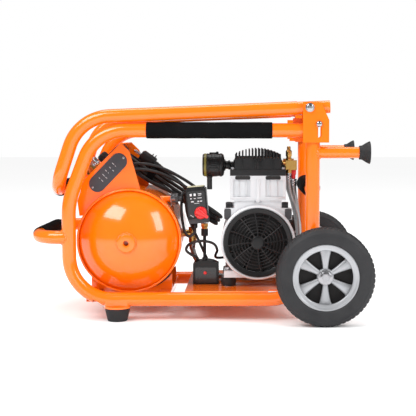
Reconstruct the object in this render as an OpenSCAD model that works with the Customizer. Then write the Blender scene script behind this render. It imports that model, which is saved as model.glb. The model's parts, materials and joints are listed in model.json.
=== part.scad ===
// Portable oil-free air compressor in a tubular roll cage with wheels and a folding pull handle.
// X runs along the cage from the bumper to the wheels, Y across it, Z up. Millimetres.

/* [Cage] */
// Distance between the centre planes of the two side frames
frame_width = 300; // [260:5:360]
// Distance from the front tube to the rear post
frame_length = 501.5; // [480:1:620]
// Outer diameter of the cage tube
tube_d = 29; // [24:0.5:32]
// Wall of every tube
tube_wall = 2; // [1.5:0.25:3]
// Height of the bottom rail's centre
rail_z = 44.5; // [42:0.5:52]
// Height of the top rail's centre
top_z = 393; // [385:1:402]
// Centre-line radius of the cage bends
bend_r = 88; // [70:1:95]
// Diameter of the foam grips
grip_d = 34; // [32:1:40]

/* [Wheels] */
// Wheel diameter
wheel_d = 200; // [180:5:210]
// Tyre width
tyre_w = 45; // [38:1:50]
// Distance between the wheels' middle planes
track = 420; // [410:5:470]
// Axle diameter
axle_d = 16; // [12:1:18]
// Radial clearance of every running fit
fit = 0.05; // [0.02:0.01:0.09]

/* [Pull handle] */
// Outer diameter of the handle tube
handle_d = 28; // [25:0.5:29]
// Outer diameter of the thinner end tube held by the pivots
stub_d = 26; // [22:0.5:26.5]
// Slope of the handle arms when folded
arm_slope = 2.4; // [1.5:0.1:3]
// Diameter of the pivot bolts
bolt_d = 10; // [8:1:12]
// Diameter of the lock pins
pin_d = 8; // [6:0.5:8.5]

/* [Tank] */
// Tank outer diameter
tank_d = 220; // [190:5:225]
// Length of the tank's cylindrical shell
tank_shell = 210; // [170:5:214]
// Depth of each dished end
dish = 50; // [35:1:52]
// Wall of the tank
tank_wall = 3; // [2:0.5:4]
// Radius of the port in each end boss
port_r = 5.5; // [4:0.5:8]

/* [Console] */
// Width of the console across its side plates
console_w = 190; // [180:2:204]
// Thickness of the console sheet
sheet = 2.5; // [1.5:0.5:3]
// Length of the instrument panel up its slope
panel_len = 110; // [105:1:118]

/* [Pump] */
// Distance of each cylinder from the middle of the motor
cyl_y = 68; // [66:1:70]
// Cylinder bore radius
bore_r = 26; // [22:0.5:27]
// Piston stroke
stroke = 16; // [10:1:18]
// Radius of the crankcase shells
case_r = 74; // [72:1:77]
// Radius of the silver fan rings
ring_r = 79; // [78:1:82]
// Distance between neighbouring cooling fins
fin_pitch = 7.2; // [6.5:0.1:7.2]

/* [Hidden] */
$fn = 64;
half_w = frame_width / 2;
tube_r = tube_d / 2;
post_x = 233;
front_x = post_x - frame_length;
post_top = 392;
lean_start = [front_x, 245.5];
lean_end = [front_x + 56.5, top_z];
lean_bend_r = 150;
rail_top = rail_z + tube_r;
lap = 1;
lap_step = 0.05;

// Hinge bracket
pivot = [post_x - 7.3, 439];
ear_in = 14;
ear_t = 4;
slot_travel = 23;
pin_at = [pivot[0] + 19.1, pivot[1] - 33];
slot_r = pin_d / 2 + 0.8;
ear_outline = [[post_x - 21.4, 368], [post_x + 31.9, 368], [post_x + 31.9, 413.5],
               [post_x + 15.7, 450], [post_x - 21.4, 450]];

// Pegs, bumper, rear crossbar
peg_z = 347.5;
peg_r = 11.5;
peg_end = post_x + 94.6;
peg_cap_end = 349.9;
cap_neck = 8;
cap_r = 23.2;
bumper_z = 173;
bumper_d = 28;
bumper_x = front_x - 70;
bumper_bend = 50;
cross_z = 272;
cross_d = 28;
cross_grip_r = 20;

// Feet and wheels
foot_x = front_x + 98.5;
foot_h = 27;
foot_top_r = 27;
foot_low_r = 21;
wheel_r = wheel_d / 2;
axle_x = 255.5;
axle_z = wheel_r;
axle_r = axle_d / 2;
wheel_y = track / 2;
rim_r = 67;
rim_in = 54;
hub_r = 17;
hub_half = 13;
hub_out = wheel_y + 4;
plate_t = 6;
nut_gap = 0.3;

// Handle route, as points of one arm from the pivot to the cross tube
arm_dir = [-cos(arm_slope), -sin(arm_slope)];
arm_start = pivot + 25 * arm_dir;
arm_len = 471;
arm_corner = pivot + arm_len * arm_dir;
leg = [-49, -147.2];
handle_end = arm_corner + leg;
arm_bend = 90;
handle_bend = 45;
stub_past = 41.8;
stub_gap = 0.6;

// Tank and what carries it
tank_r = tank_d / 2;
tank_x = front_x + 118.5;
tank_z = 161.4;
shell_half = tank_shell / 2;
lip = 7;
lip_step = 3.5;
boss_r = 19;
boss_end = 162;
neck_y = -55;
neck_z = 246;
neck_r = 7;
saddle_y = 60;
saddle_dx = 75;
pad_t = 5;

// Console panel: its lower outer edge, and the rear corners of the side plates
console_half = console_w / 2;
panel_lo = [tank_x - 95, 289];
gauge_u = 82;
gauge_y = 48;
gauge_r = 21;
gauge_h = 4;
gauge_body_r = 18.5;
gauge_body = 11;
regulator_u = 52;
coupler_u = 20;
coupler_y = 58;
coupler_r = 9;
coupler_len = 38;
sleeve_r = 12.5;
coupler_bore = 5.4;

// Pump, measured from the motor's middle
pump_x = 121.5;
pump_z = 157.3;
tray_x0 = -30;
tray_x1 = 200;
tray_t = 3;
tray_top = rail_top + tray_t;
mount_h = 20;
mount_dx = 62.5;
mount_y = 80;
motor_r = 62;
motor_half = 38;
wall_t = 4;
case_end = 94;
ring_end = 108;
guard_r = 72.6;
fan_pitch = 25;
shaft_r = 8;
ecc_r = 14;
ecc_off = stroke / 2;
throw_gap = 1.5;
block_half = 58.8;
block_y0 = 36;
block_y1 = 100;
block_z0 = 245.6;
block_z1 = 297.8;
liner_t = 3;
piston_h = 12;
piston_top = block_z1 - 10;
yoke_t = 8;
head_z0 = block_z1 + 3;
head_z1 = 335.4;
fin_top = 354;
fin_count = 14;
fin_drop = 0.26;
filter_z = 319.6;
head_half = 49;
outlet_x = pump_x + 71;

// Switch and boxes
switch_x = -5;
switch_y = -80;
switch_depth = 50;
switch_z = 195;
knob_at = [0.2, 218.3];
knob_r = 13.8;
box_x = 9.5;
box_y = -65;

// Hank of the mains lead: a flat band leaning on the tank's shoulder
lead_d = 8.5;
hank_len = 262;
hank_w = 60;
hank_t = 27;
hank_tilt = 35;
hank_y = 55;
hank_gap = 0.4;
hank_shift = 8;

// ---- helpers -------------------------------------------------------------------------------

function unit(v) = v / norm(v);
function side_of(w) = unit(cross(w, abs(w[2]) > 0.9 ? [0, 1, 0] : [0, 0, 1]));
function frame_at(o, x, y, z) = [[x[0], y[0], z[0], o[0]], [x[1], y[1], z[1], o[1]],
                                 [x[2], y[2], z[2], o[2]], [0, 0, 0, 1]];

// Corner of a bent tube: tangent length, arc start and end, arc centre
function turn(a, b, c) = acos(unit(b - a) * unit(c - b));
function cut(a, b, c, r) = r * tan(turn(a, b, c) / 2);
function arc_in(a, b, c, r) = b - unit(b - a) * cut(a, b, c, r);
function arc_out(a, b, c, r) = b + unit(c - b) * cut(a, b, c, r);

module ring_profile(r, wall) {
    difference() {
        circle(r = r);
        circle(r = r - wall);
    }
}

module straight_tube(a, b, r, wall) {
    w = unit(b - a);
    s = side_of(w);
    multmatrix(frame_at(a, s, cross(w, s), w))
        linear_extrude(height = norm(b - a)) ring_profile(r, wall);
}

// The bend is a hair slimmer than the straights, which lap over its ends
module bend_tube(a, b, c, big, r, wall) {
    u = unit(b - a);
    w = unit(c - b);
    inward = unit(w - u * (u * w));
    multmatrix(frame_at(arc_in(a, b, c, big) + inward * big, -inward, u, cross(-inward, u)))
        rotate_extrude(angle = turn(a, b, c)) translate([big, 0])
            ring_profile(r - lap_step, wall - 2 * lap_step);
}

// Tube along a list of points with one bend radius for each inner point
module bent_tube(p, bends, r, wall) {
    n = len(p);
    for (i = [0:n - 2]) {
        a = i == 0 ? p[0] : arc_out(p[i - 1], p[i], p[i + 1], bends[i - 1]);
        b = i == n - 2 ? p[n - 1] : arc_in(p[i], p[i + 1], p[i + 2], bends[i]);
        u = unit(b - a);
        straight_tube(a - (i == 0 ? 0 : lap) * u, b + (i == n - 2 ? 0 : lap) * u, r, wall);
    }
    for (i = [1:n - 2]) bend_tube(p[i - 1], p[i], p[i + 1], bends[i - 1], r, wall);
}

// Points of a smooth curve through hand-chosen points (a Catmull-Rom curve)
function knot(p, i) = p[max(0, min(len(p) - 1, i))];
function curve_at(a, b, c, d, t) = 0.5 * (2 * b + (c - a) * t + (2 * a - 5 * b + 4 * c - d) * t * t
                                          + (3 * b - a - 3 * c + d) * t * t * t);
function smooth(p, steps) = concat([for (i = [0:len(p) - 2], k = [0:steps - 1])
    curve_at(knot(p, i - 1), p[i], p[i + 1], knot(p, i + 2), k / steps)], [p[len(p) - 1]]);

// A ring's side direction is carried from the last one, so the tube doesn't twist
function carried(q, i) = i == 0 ? side_of(unit(q[1] - q[0])) :
    let (w = unit(knot(q, i + 1) - knot(q, i - 1)), s = carried(q, i - 1)) unit(s - w * (s * w));
function sides_of(q, i = 0, s = undef, out = []) = i == len(q) ? out :
    let (w = unit(knot(q, i + 1) - knot(q, i - 1)),
         now = s == undef ? side_of(w) : unit(s - w * (s * w)))
    sides_of(q, i + 1, now, concat(out, [[now, cross(w, now)]]));

module cord_tube(points, steps, d, sides = 8) {
    q = smooth(points, steps);
    n = len(q);
    s = sides_of(q);
    rings = [for (i = [0:n - 1], k = [0:sides - 1])
        q[i] + d / 2 * (cos(k * 360 / sides) * s[i][0] + sin(k * 360 / sides) * s[i][1])];
    walls = [for (i = [0:n - 2], k = [0:sides - 1])
        [i * sides + k, (i + 1) * sides + k, (i + 1) * sides + (k + 1) % sides,
         i * sides + (k + 1) % sides]];
    first = [for (k = [0:sides - 1]) k];
    last = [for (k = [sides - 1:-1:0]) (n - 1) * sides + k];
    polyhedron(points = rings, faces = concat([first, last], walls));
}

module along_y(y0, y1, r, fn = 64) {
    translate([0, y1, 0]) rotate([90, 0, 0]) cylinder(h = y1 - y0, r = r, $fn = fn);
}

module ring_y(y0, y1, r, hole) {
    difference() {
        along_y(y0, y1, r);
        along_y(y0 - 1, y1 + 1, hole);
    }
}

module plate_y(y0, y1) {
    translate([0, y1, 0]) rotate([90, 0, 0]) linear_extrude(height = y1 - y0) children();
}

module both_sides() {
    children();
    mirror([0, 1, 0]) children();
}

module box_from(lo, hi) {
    translate(lo) cube(hi - lo);
}

// Panel coordinates: X up the slope, Y across, Z out of the panel
module on_panel(u, y) {
    translate([panel_lo[0] + u * sqrt(0.5), y, panel_lo[1] + u * sqrt(0.5)])
        rotate([0, -45, 0]) children();
}

// ---- cage ----------------------------------------------------------------------------------

module ears(y0, y1) {
    plate_y(y0, y1) difference() {
        polygon(ear_outline);
        translate(pivot) circle(r = bolt_d / 2 + fit);
        for (z = [0, slot_travel]) translate(pin_at - [0, z]) circle(r = slot_r);
        translate(pin_at - [slot_r, slot_travel]) square([2 * slot_r, slot_travel]);
    }
}

module axle_plate() {
    plate_y(-plate_t / 2, plate_t / 2) difference() {
        union() {
            translate([axle_x, axle_z]) circle(r = axle_r + 9);
            polygon([[axle_x, axle_z + axle_r + 9], [post_x, axle_z + 45], [post_x - 30, axle_z - 30],
                     [axle_x, axle_z - axle_r - 9]]);
        }
        translate([axle_x, axle_z]) circle(r = axle_r + fit);
        translate([post_x - bend_r, rail_z + bend_r]) circle(r = bend_r);
    }
}

module gusset() {
    plate_y(ear_in, ear_in + ear_t) difference() {
        translate([post_x - 40, 369]) square([26, 49]);
        translate([post_x - 40, 369]) square([5, 5]);
    }
}

// What the handle's end tube sweeps between the ears as it folds from level to upright
module stub_room() {
    reach = norm([stub_past, stub_d / 2]) + stub_gap;
    intersection() {
        translate([pivot[0], 0, pivot[1]]) along_y(-ear_in, ear_in, reach);
        box_from([pivot[0] - stub_d / 2 - stub_gap, -ear_in, pivot[1] - reach],
                 [pivot[0] + reach, ear_in, pivot[1] + reach]);
    }
}

// One side frame about its own centre plane, its outer face towards -Y
module side_frame() {
    difference() {
        union() {
            bent_tube([[post_x, 0, post_top], [post_x, 0, rail_z], [front_x, 0, rail_z],
                       [lean_start[0], 0, lean_start[1]], [lean_end[0], 0, lean_end[1]],
                       [post_x, 0, top_z]],
                      [bend_r, bend_r, lean_bend_r, bend_r], tube_r, tube_wall);
            ears(-ear_in - ear_t, -ear_in);
            ears(ear_in, ear_in + ear_t);
            axle_plate();
            gusset();
            translate([post_x, 0, peg_z]) rotate([0, 90, 0])
                cylinder(h = peg_end - post_x, r = peg_r);
            translate([foot_x, 0, foot_h]) cylinder(h = rail_z - foot_h, r = foot_top_r);
        }
        translate([post_x, 0, peg_z - 30]) cylinder(h = 100, r = tube_r - tube_wall);
        translate([post_x, 0, peg_z]) rotate([0, 90, 0])
            cylinder(h = peg_end - post_x + 1, r = peg_r - tube_wall);
        translate([foot_x - 50, 0, rail_z]) rotate([0, 90, 0])
            cylinder(h = 100, r = tube_r - tube_wall);
        box_from([foot_x - 50, -tube_r - 20, foot_h + 4], [foot_x + 50, -tube_r, rail_z + 1]);
        box_from([foot_x - 50, tube_r, foot_h + 4], [foot_x + 50, tube_r + 20, rail_z + 1]);
        box_from([pin_at[0] - slot_r - 1, -ear_in, pin_at[1] - slot_travel - pin_d],
                 [post_x + tube_r + 1, ear_in, post_top + 1]);
        stub_room();
    }
}

module side_frame_left() {
    color("darkorange") translate([0, -half_w, 0]) side_frame();
}

module side_frame_right() {
    color("darkorange") translate([0, half_w, 0]) mirror([0, 1, 0]) side_frame();
}

module post_cuts() {
    both_sides() translate([post_x, -half_w, cross_z - 60]) cylinder(h = 120, r = tube_r);
}

module rear_crossbar() {
    color("darkorange") difference() {
        translate([post_x, 0, cross_z]) ring_y(-half_w, half_w, cross_d / 2, cross_d / 2 - tube_wall);
        post_cuts();
    }
}

module front_bumper() {
    color("darkorange") difference() {
        bent_tube([[front_x, -half_w, bumper_z], [bumper_x, -half_w, bumper_z],
                   [bumper_x, half_w, bumper_z], [front_x, half_w, bumper_z]],
                  [bumper_bend, bumper_bend], bumper_d / 2, tube_wall);
        both_sides() translate([front_x, -half_w, bumper_z - 40]) cylinder(h = 80, r = tube_r);
    }
}

module frame_grips() {
    color([0.08, 0.08, 0.08]) {
        translate([post_x, 0, cross_z]) ring_y(-100, 100, cross_grip_r, cross_d / 2);
        translate([bumper_x, 0, bumper_z]) ring_y(bumper_bend + 5 - half_w, half_w - bumper_bend - 5,
                                                  grip_d / 2, bumper_d / 2);
        both_sides() translate([front_x + 161.5, -half_w, top_z]) rotate([0, 90, 0]) difference() {
            cylinder(h = frame_length - 244.5, r = grip_d / 2);
            translate([0, 0, -1]) cylinder(h = frame_length, r = tube_r);
        }
    }
}

module rubber_feet() {
    color([0.1, 0.1, 0.1]) both_sides() {
        translate([foot_x, -half_w, 0])
            cylinder(h = foot_h, r1 = foot_low_r, r2 = foot_top_r - 1);
        translate([peg_end, -half_w, peg_z]) rotate([0, 90, 0]) union() {
            translate([0, 0, -15]) cylinder(h = 16, r = peg_r - tube_wall - fit);
            cylinder(h = cap_neck, r = peg_r + 2.8);
            translate([0, 0, cap_neck])
                cylinder(h = peg_cap_end - peg_end - cap_neck, r1 = peg_r + 2.8, r2 = cap_r);
        }
    }
}

// The tray lies on the rails as far as they run straight, and between them behind that
module pump_tray() {
    inner = half_w - tube_r;
    color("darkorange") difference() {
        union() {
            box_from([tray_x0, -half_w - 4, rail_top], [post_x - bend_r - 3, half_w + 4, tray_top]);
            box_from([tray_x0, -inner, rail_top], [tray_x1, inner, tray_top]);
            box_from([tray_x0, -half_w + tube_r, rail_top - 12],
                     [tray_x0 + tray_t, half_w - tube_r, rail_top]);
        }
        for (x = [-mount_dx, mount_dx], y = [-mount_y, mount_y])
            translate([pump_x + x, y, rail_top - 1]) cylinder(h = 6, r = 4.2);
    }
}

// ---- tank ----------------------------------------------------------------------------------

module on_tank() {
    translate([tank_x, 0, tank_z]) children();
}

// Half outline of the tank in (radius, axis): shell, joggled lip and one dished end
module tank_outline(inset) {
    end_r = tank_r - lip_step;
    crown = (end_r * end_r + dish * dish) / (2 * dish);
    square([tank_r - inset, shell_half]);
    translate([0, shell_half - 1]) square([end_r - inset, 1 + (inset > 0 ? 0 : 0.01)]);
    intersection() {
        translate([0, shell_half + dish - crown]) circle(r = crown - inset, $fn = 180);
        translate([0, shell_half - 1]) square([end_r - inset, dish + 2]);
    }
}

module tank_lip() {
    translate([tank_r - lip_step - 1, shell_half - 1]) square([lip_step + 1, lip]);
}

module tank_body() {
    both_sides() rotate([90, 0, 0]) rotate_extrude() {
        difference() {
            union() {
                tank_outline(0);
                tank_lip();
            }
            tank_outline(tank_wall);
        }
    }
}

module tank() {
    color("darkorange") difference() {
        union() {
            on_tank() tank_body();
            on_tank() both_sides() along_y(-boss_end, -shell_half - dish + 8, boss_r);
            translate([tank_x + 62, neck_y, neck_z]) rotate([0, 90, 0]) cylinder(h = 22, r = neck_r);
        }
        on_tank() both_sides() along_y(-boss_end - 1, -shell_half - dish + 20, port_r);
        translate([tank_x + 50, neck_y, neck_z]) rotate([0, 90, 0]) cylinder(h = 40, r = neck_r - 2.5);
        on_tank() translate([tank_r - 8, 50, 0]) rotate([0, 90, 0]) cylinder(h = 12, r = 5);
        on_tank() translate([0, 0, -tank_r - 2]) cylinder(h = 10, r = 4);
    }
}

module tank_cut() {
    on_tank() along_y(-shell_half - 5, shell_half + 5, tank_r, 180);
}

module tank_saddles() {
    inner = half_w - tube_r;
    color("darkorange") difference() {
        union() {
            for (x = [-saddle_dx, saddle_dx]) box_from([tank_x + x - 12, -inner, rail_z - 8],
                                                       [tank_x + x + 12, inner, rail_z + 8]);
            both_sides() box_from([tank_x - 87, -saddle_y - 3, rail_z - 8],
                                  [tank_x + 87, -saddle_y + 3, rail_z + 48]);
        }
        on_tank() along_y(-half_w, half_w, tank_r + pad_t, 180);
        for (x = [-saddle_dx, saddle_dx]) translate([tank_x + x - 10, -half_w - 1, rail_z - 6])
            cube([20, 2 * half_w + 2, 12]);
    }
}

module saddle_pads() {
    color([0.1, 0.1, 0.1]) both_sides() for (a = [-136, -62])
        translate([tank_x, -saddle_y + 12, tank_z]) rotate([90, 0, 0]) rotate([0, 0, a])
            rotate_extrude(angle = 18) translate([tank_r, 0]) square([pad_t, 24]);
}

module check_valve() {
    color("goldenrod") difference() {
        union() {
            translate([tank_x + tank_r - 6, 50, tank_z]) rotate([0, 90, 0]) cylinder(h = 21, r = 8);
            translate([tank_x + tank_r + 15, 50, tank_z - 20]) cylinder(h = 34, r = 9);
        }
        tank_cut();
    }
}

module drain_valve() {
    color("goldenrod") difference() {
        on_tank() translate([0, 0, -tank_r - 14]) cylinder(h = 18, r = 8);
        tank_cut();
        on_tank() translate([0, 0, -tank_r - 15]) cylinder(h = 10, r = 3 + fit);
    }
}

module drain_knob() {
    color([0.75, 0.6, 0.3]) on_tank() translate([0, 0, -tank_r - 25]) union() {
        cylinder(h = 10.5, r = 6);
        cylinder(h = 16, r = 3);
        box_from([-13, -2.5, 1], [13, 2.5, 8]);
    }
}

// ---- console -------------------------------------------------------------------------------

console_outline = [panel_lo, panel_lo + panel_len * [sqrt(0.5), sqrt(0.5)], [tank_x + 1, 349],
                   [tank_x + 22, 274], [tank_x + 30, 220], [tank_x - 106, 213],
                   [tank_x - 110, 244.5]];

module console_side() {
    plate_y(-console_half, -console_half + sheet) difference() {
        polygon(console_outline);
        translate([tank_x, tank_z]) circle(r = tank_r, $fn = 180);
    }
}

module console() {
    color("darkorange") difference() {
        union() {
            both_sides() console_side();
            on_panel(0, 0) box_from([0, -console_half, -sheet], [panel_len, console_half, 0]);
        }
        on_panel(regulator_u, 0) translate([0, 0, -5]) cylinder(h = 10, r = 10);
        both_sides() on_panel(gauge_u, -gauge_y) translate([0, 0, -5])
            cylinder(h = 10, r = gauge_body_r + 0.4);
        both_sides() on_panel(coupler_u, -coupler_y) translate([0, 0, -5])
            cylinder(h = 10, r = coupler_r + 0.5);
    }
}

plate_a = [tank_x - 21.6, 328];
plate_b = [tank_x - 67, 281];
plate_r = 17.5;

module nameplate() {
    color("lightgray") plate_y(-console_half - 1.2, -console_half) {
        translate(plate_a) circle(r = plate_r);
        translate(plate_b) circle(r = plate_r);
        translate(plate_b) rotate(atan2(plate_a[1] - plate_b[1], plate_a[0] - plate_b[0]))
            translate([0, -plate_r + lap_step])
                square([norm(plate_a - plate_b), 2 * (plate_r - lap_step)]);
    }
}

module regulator() {
    color([0.2, 0.2, 0.22]) difference() {
        union() {
            on_panel(coupler_u, 0) box_from([-11, -coupler_y - 14, -sheet - 22],
                                            [11, coupler_y + 14, -sheet]);
            on_panel(regulator_u, 0) translate([0, 0, -sheet - 36]) cylinder(h = 36, r = 16);
            on_panel(coupler_u, 0) box_from([10, -8, -sheet - 18], [30, 8, -sheet - 4]);
            on_panel(regulator_u, 0) translate([0, 0, -sheet - 1]) cylinder(h = sheet + 4, r = 8);
        }
        on_panel(regulator_u, 0) translate([0, 0, -15]) cylinder(h = 30, r = 3 + fit);
    }
}

module regulator_knob() {
    color([0.08, 0.08, 0.08]) on_panel(regulator_u, 0) union() {
        translate([0, 0, 3.5]) cylinder(h = 18.5, r = 12);
        translate([0, 0, -14]) cylinder(h = 20, r = 3);
    }
}

module gauge_cases() {
    color([0.15, 0.15, 0.15]) both_sides() on_panel(gauge_u, -gauge_y) difference() {
        union() {
            translate([0, 0, 0.05]) cylinder(h = gauge_h - 0.05, r = gauge_r);
            translate([0, 0, -gauge_body]) cylinder(h = gauge_body + 1, r = gauge_body_r);
        }
        difference() {
            translate([0, 0, gauge_h - 5]) cylinder(h = 6, r = gauge_body_r - 2);
            translate([0, 0, gauge_h - 6]) cylinder(h = 4.5, r = 1);
        }
    }
}

module gauge_needle(y) {
    color("crimson") on_panel(gauge_u, y) translate([0, 0, gauge_h - 3.5]) rotate([0, 0, 225])
        difference() {
            union() {
                cylinder(h = 1.5, r = 3);
                box_from([0, -0.8, 0.3], [14, 0.8, 1.2]);
            }
            translate([0, 0, -1]) cylinder(h = 4, r = 1 + fit);
        }
}

module tank_needle() {
    gauge_needle(-gauge_y);
}

module outlet_needle() {
    gauge_needle(gauge_y);
}

module coupler_bodies() {
    color("goldenrod") both_sides() on_panel(coupler_u, -coupler_y) difference() {
        union() {
            translate([0, 0, -sheet]) cylinder(h = coupler_len + sheet, r = coupler_r);
            translate([0, 0, 0.2]) cylinder(h = 8, r = 12, $fn = 6);
        }
        translate([0, 0, 8]) cylinder(h = coupler_len, r = coupler_bore);
    }
}

module coupler_sleeve(y) {
    color("silver") on_panel(coupler_u, y) translate([0, 0, 15]) difference() {
        cylinder(h = 18, r = sleeve_r);
        translate([0, 0, -1]) cylinder(h = 20, r = coupler_r + fit);
    }
}

module coupler_sleeve_left() {
    coupler_sleeve(-coupler_y);
}

module coupler_sleeve_right() {
    coupler_sleeve(coupler_y);
}

// ---- pressure switch and overload box --------------------------------------------------------

module on_switch() {
    translate([switch_x, 0, switch_z]) rotate([0, -5, 0]) children();
}

module switch_base() {
    color([0.25, 0.25, 0.27]) difference() {
        union() {
            on_switch() box_from([-20, switch_y + 4, 0], [22, switch_y + switch_depth, 12]);
            translate([tank_x + 84.3, neck_y, neck_z]) rotate([0, 90, 0])
                cylinder(h = 24, r = neck_r - 1.5);
            translate([tank_x + 88, neck_y, neck_z]) rotate([0, 90, 0])
                cylinder(h = 12, r = 12, $fn = 6);
        }
        on_switch() box_from([-23, switch_y - 1, 12], [23, switch_y + switch_depth + 1, 90]);
    }
}

module switch_cover() {
    color([0.07, 0.07, 0.07]) difference() {
        on_switch() union() {
            box_from([-22, switch_y, 12.2], [22, switch_y + switch_depth, 74]);
            box_from([-19, switch_y + 3, 74], [19, switch_y + switch_depth - 3, 78]);
        }
        translate([knob_at[0], 0, knob_at[1]]) along_y(switch_y - 1, switch_y + 12, 4 + fit);
        on_switch() box_from([-19, switch_y + 14, 12], [19, switch_y + switch_depth - 3, 70]);
    }
}

module switch_knob() {
    color("crimson") translate([knob_at[0], 0, knob_at[1]]) union() {
        along_y(switch_y - 13, switch_y - 0.4, knob_r);
        along_y(switch_y - 1, switch_y + 10, 4);
        rotate([0, 32, 0]) box_from([0, switch_y - 17, -3], [knob_r + 2, switch_y - 12, 3]);
    }
}

module switch_fittings() {
    color([0.3, 0.25, 0.15]) {
        translate([7, -56, 186]) cylinder(h = 7.6, r = 8, $fn = 6);
        translate([7, -56, 114.1]) cylinder(h = 72.5, r = 3.5);
        translate([-14, -56, 183]) cylinder(h = 10, r = 6);
        for (x = [-9, 5]) translate([x, 0, 244]) along_y(switch_y + switch_depth, -18, 5.5);
        translate([-22, 0, 230]) along_y(switch_y + switch_depth, -12, 7);
    }
}

module overload_box() {
    color([0.07, 0.07, 0.07]) difference() {
        union() {
            box_from([box_x - 27.5, box_y, tray_top], [box_x + 27.5, box_y + 40, 103]);
            intersection() {
                translate([box_x, 0, 60]) along_y(box_y, box_y + 40, 54, 120);
                box_from([box_x - 27.5, box_y, 100], [box_x + 27.5, box_y + 40, 120]);
            }
            translate([box_x - 19, box_y + 15, 90]) cylinder(h = 22.5, r = 5);
            translate([box_x, 0, 84]) along_y(box_y + 39, box_y + 46, 5.5);
        }
        translate([8.4, 0, 87.3]) along_y(box_y - 1, box_y + 10, 3.6 + fit);
    }
}

module reset_button() {
    color("crimson") translate([8.4, 0, 87.3]) along_y(box_y - 4, box_y + 6, 3.6);
}

// ---- pump ------------------------------------------------------------------------------------

module on_pump() {
    translate([pump_x, 0, pump_z]) children();
}

module motor_housing() {
    color([0.75, 0.75, 0.77]) on_pump() difference() {
        union() {
            along_y(-motor_half, motor_half, motor_r);
            box_from([-motor_r - 6, -14, -56], [-motor_r + 20, 14, -34]);
        }
        along_y(-motor_half - 1, motor_half + 1, motor_r - wall_t);
    }
}

module stator() {
    color([0.5, 0.35, 0.2]) on_pump() ring_y(-30, 30, motor_r - wall_t, 36);
}

module motor_shaft() {
    color([0.7, 0.7, 0.72]) on_pump() union() {
        along_y(-107, 107, shaft_r);
        along_y(-30, 30, 35.3);
        translate([ecc_off, 0, 0]) along_y(-cyl_y - 6, -cyl_y + 6, ecc_r);
        translate([-ecc_off, 0, 0]) along_y(cyl_y - 6, cyl_y + 6, ecc_r);
    }
}

module cooling_fans() {
    color([0.1, 0.1, 0.1]) on_pump() both_sides() difference() {
        union() {
            along_y(-98.5, -96.5, 62);
            along_y(-106, -96.5, 16);
            for (i = [0:8]) rotate([0, i * 40, 0]) translate([0, -101.5, 0]) rotate([fan_pitch, 0, 0])
                box_from([14, -4, -1.2], [64, 4, 1.2]);
        }
        along_y(-120, -80, shaft_r);
    }
}

// Front crankcase with its upper block; the rear one is its mirror image
module crankcase() {
    difference() {
        union() {
            along_y(-case_end, -motor_half, case_r);
            along_y(-ring_end, -case_end, ring_r);
            box_from([-50, -96, 0], [50, -40, block_z0 - pump_z]);
            box_from([-block_half, -block_y1, block_z0 - pump_z],
                     [block_half, -block_y0, block_z1 - pump_z]);
            box_from([-72, -100, tray_top + mount_h - pump_z], [72, -45, tray_top + mount_h - pump_z + 14]);
            box_from([-72, -96, 48], [72, -84, 72]);
        }
        along_y(-case_end + wall_t, -motor_half - wall_t, case_r - wall_t);
        along_y(-ring_end - 1, -case_end, guard_r);
        along_y(-ring_end, 0, shaft_r + fit);
        translate([0, -cyl_y, 40]) cylinder(h = block_z0 - pump_z - 40, r = bore_r);
        translate([0, -cyl_y, block_z0 - pump_z - 5]) cylinder(h = 60, r = bore_r + liner_t);
        for (x = [-52, 16]) box_from([x, -block_y1 - 1, block_z0 - pump_z + 8],
                                     [x + 36, -block_y1 + 4, block_z1 - pump_z - 8]);
        for (x = [-mount_dx, mount_dx]) translate([x, -mount_y, -80]) cylinder(h = 22, r = 4.2);
    }
}

module crankcases() {
    color([0.75, 0.75, 0.77]) on_pump() both_sides() crankcase();
}

module fan_guards() {
    color([0.06, 0.06, 0.06]) on_pump() both_sides() {
        ring_y(-ring_end - 4, -ring_end + 1, guard_r, guard_r - 3);
        for (r = [22, 32, 42, 52, 62]) ring_y(-ring_end - 4, -ring_end - 1.5, r + 1, r - 1);
        along_y(-ring_end - 5, -ring_end - 1.5, 14);
        for (i = [0:11]) rotate([0, i * 30, 0])
            box_from([12, -ring_end - 3.5, -1.2], [guard_r - 2, -ring_end - 1.5, 1.2]);
    }
}

module cylinder_liners() {
    color([0.6, 0.6, 0.62]) on_pump() both_sides() translate([0, -cyl_y, block_z0 - pump_z - 5])
        difference() {
            cylinder(h = block_z1 - block_z0 + 5, r = bore_r + liner_t);
            translate([0, 0, -1]) cylinder(h = 70, r = bore_r);
        }
}

// Piston with its rod and an oversize big end: it slides straight, and the eccentric turns clear
module piston() {
    swing = ecc_r + ecc_off + throw_gap;
    rod_low = swing + ecc_off + 4;
    color([0.8, 0.8, 0.82]) on_pump() translate([0, -cyl_y, 0]) union() {
        translate([0, 0, piston_top - pump_z - piston_h]) cylinder(h = piston_h, r = bore_r - 0.08);
        box_from([-8, -yoke_t / 2, rod_low], [8, yoke_t / 2, piston_top - pump_z - piston_h + 1]);
        plate_y(-yoke_t / 2, yoke_t / 2) difference() {
            union() {
                for (z = [-ecc_off, ecc_off]) translate([0, z]) circle(r = swing + 7);
                translate([-swing - 7, -ecc_off]) square([2 * swing + 14, 2 * ecc_off]);
            }
            for (z = [-ecc_off, ecc_off]) translate([0, z]) circle(r = swing);
            translate([-swing, -ecc_off]) square([2 * swing, 2 * ecc_off]);
        }
    }
}

module piston_front() {
    piston();
}

module piston_rear() {
    mirror([0, 1, 0]) piston();
}

module cylinder_heads() {
    color([0.08, 0.08, 0.08]) translate([pump_x, 0, 0]) both_sides() {
        box_from([-block_half, -block_y1, block_z1], [block_half, -block_y0, head_z0 + 10.4]);
        box_from([-head_half, -block_y1 + 2, head_z0 + 10], [head_half, -block_y0 - 2, head_z1]);
        for (i = [-(fin_count - 1) / 2:(fin_count - 1) / 2])
            box_from([i * fin_pitch - 1.5, -block_y1, head_z1 - 1],
                     [i * fin_pitch + 1.5, -block_y0, fin_top - fin_drop * i * i]);
    }
}

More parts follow.
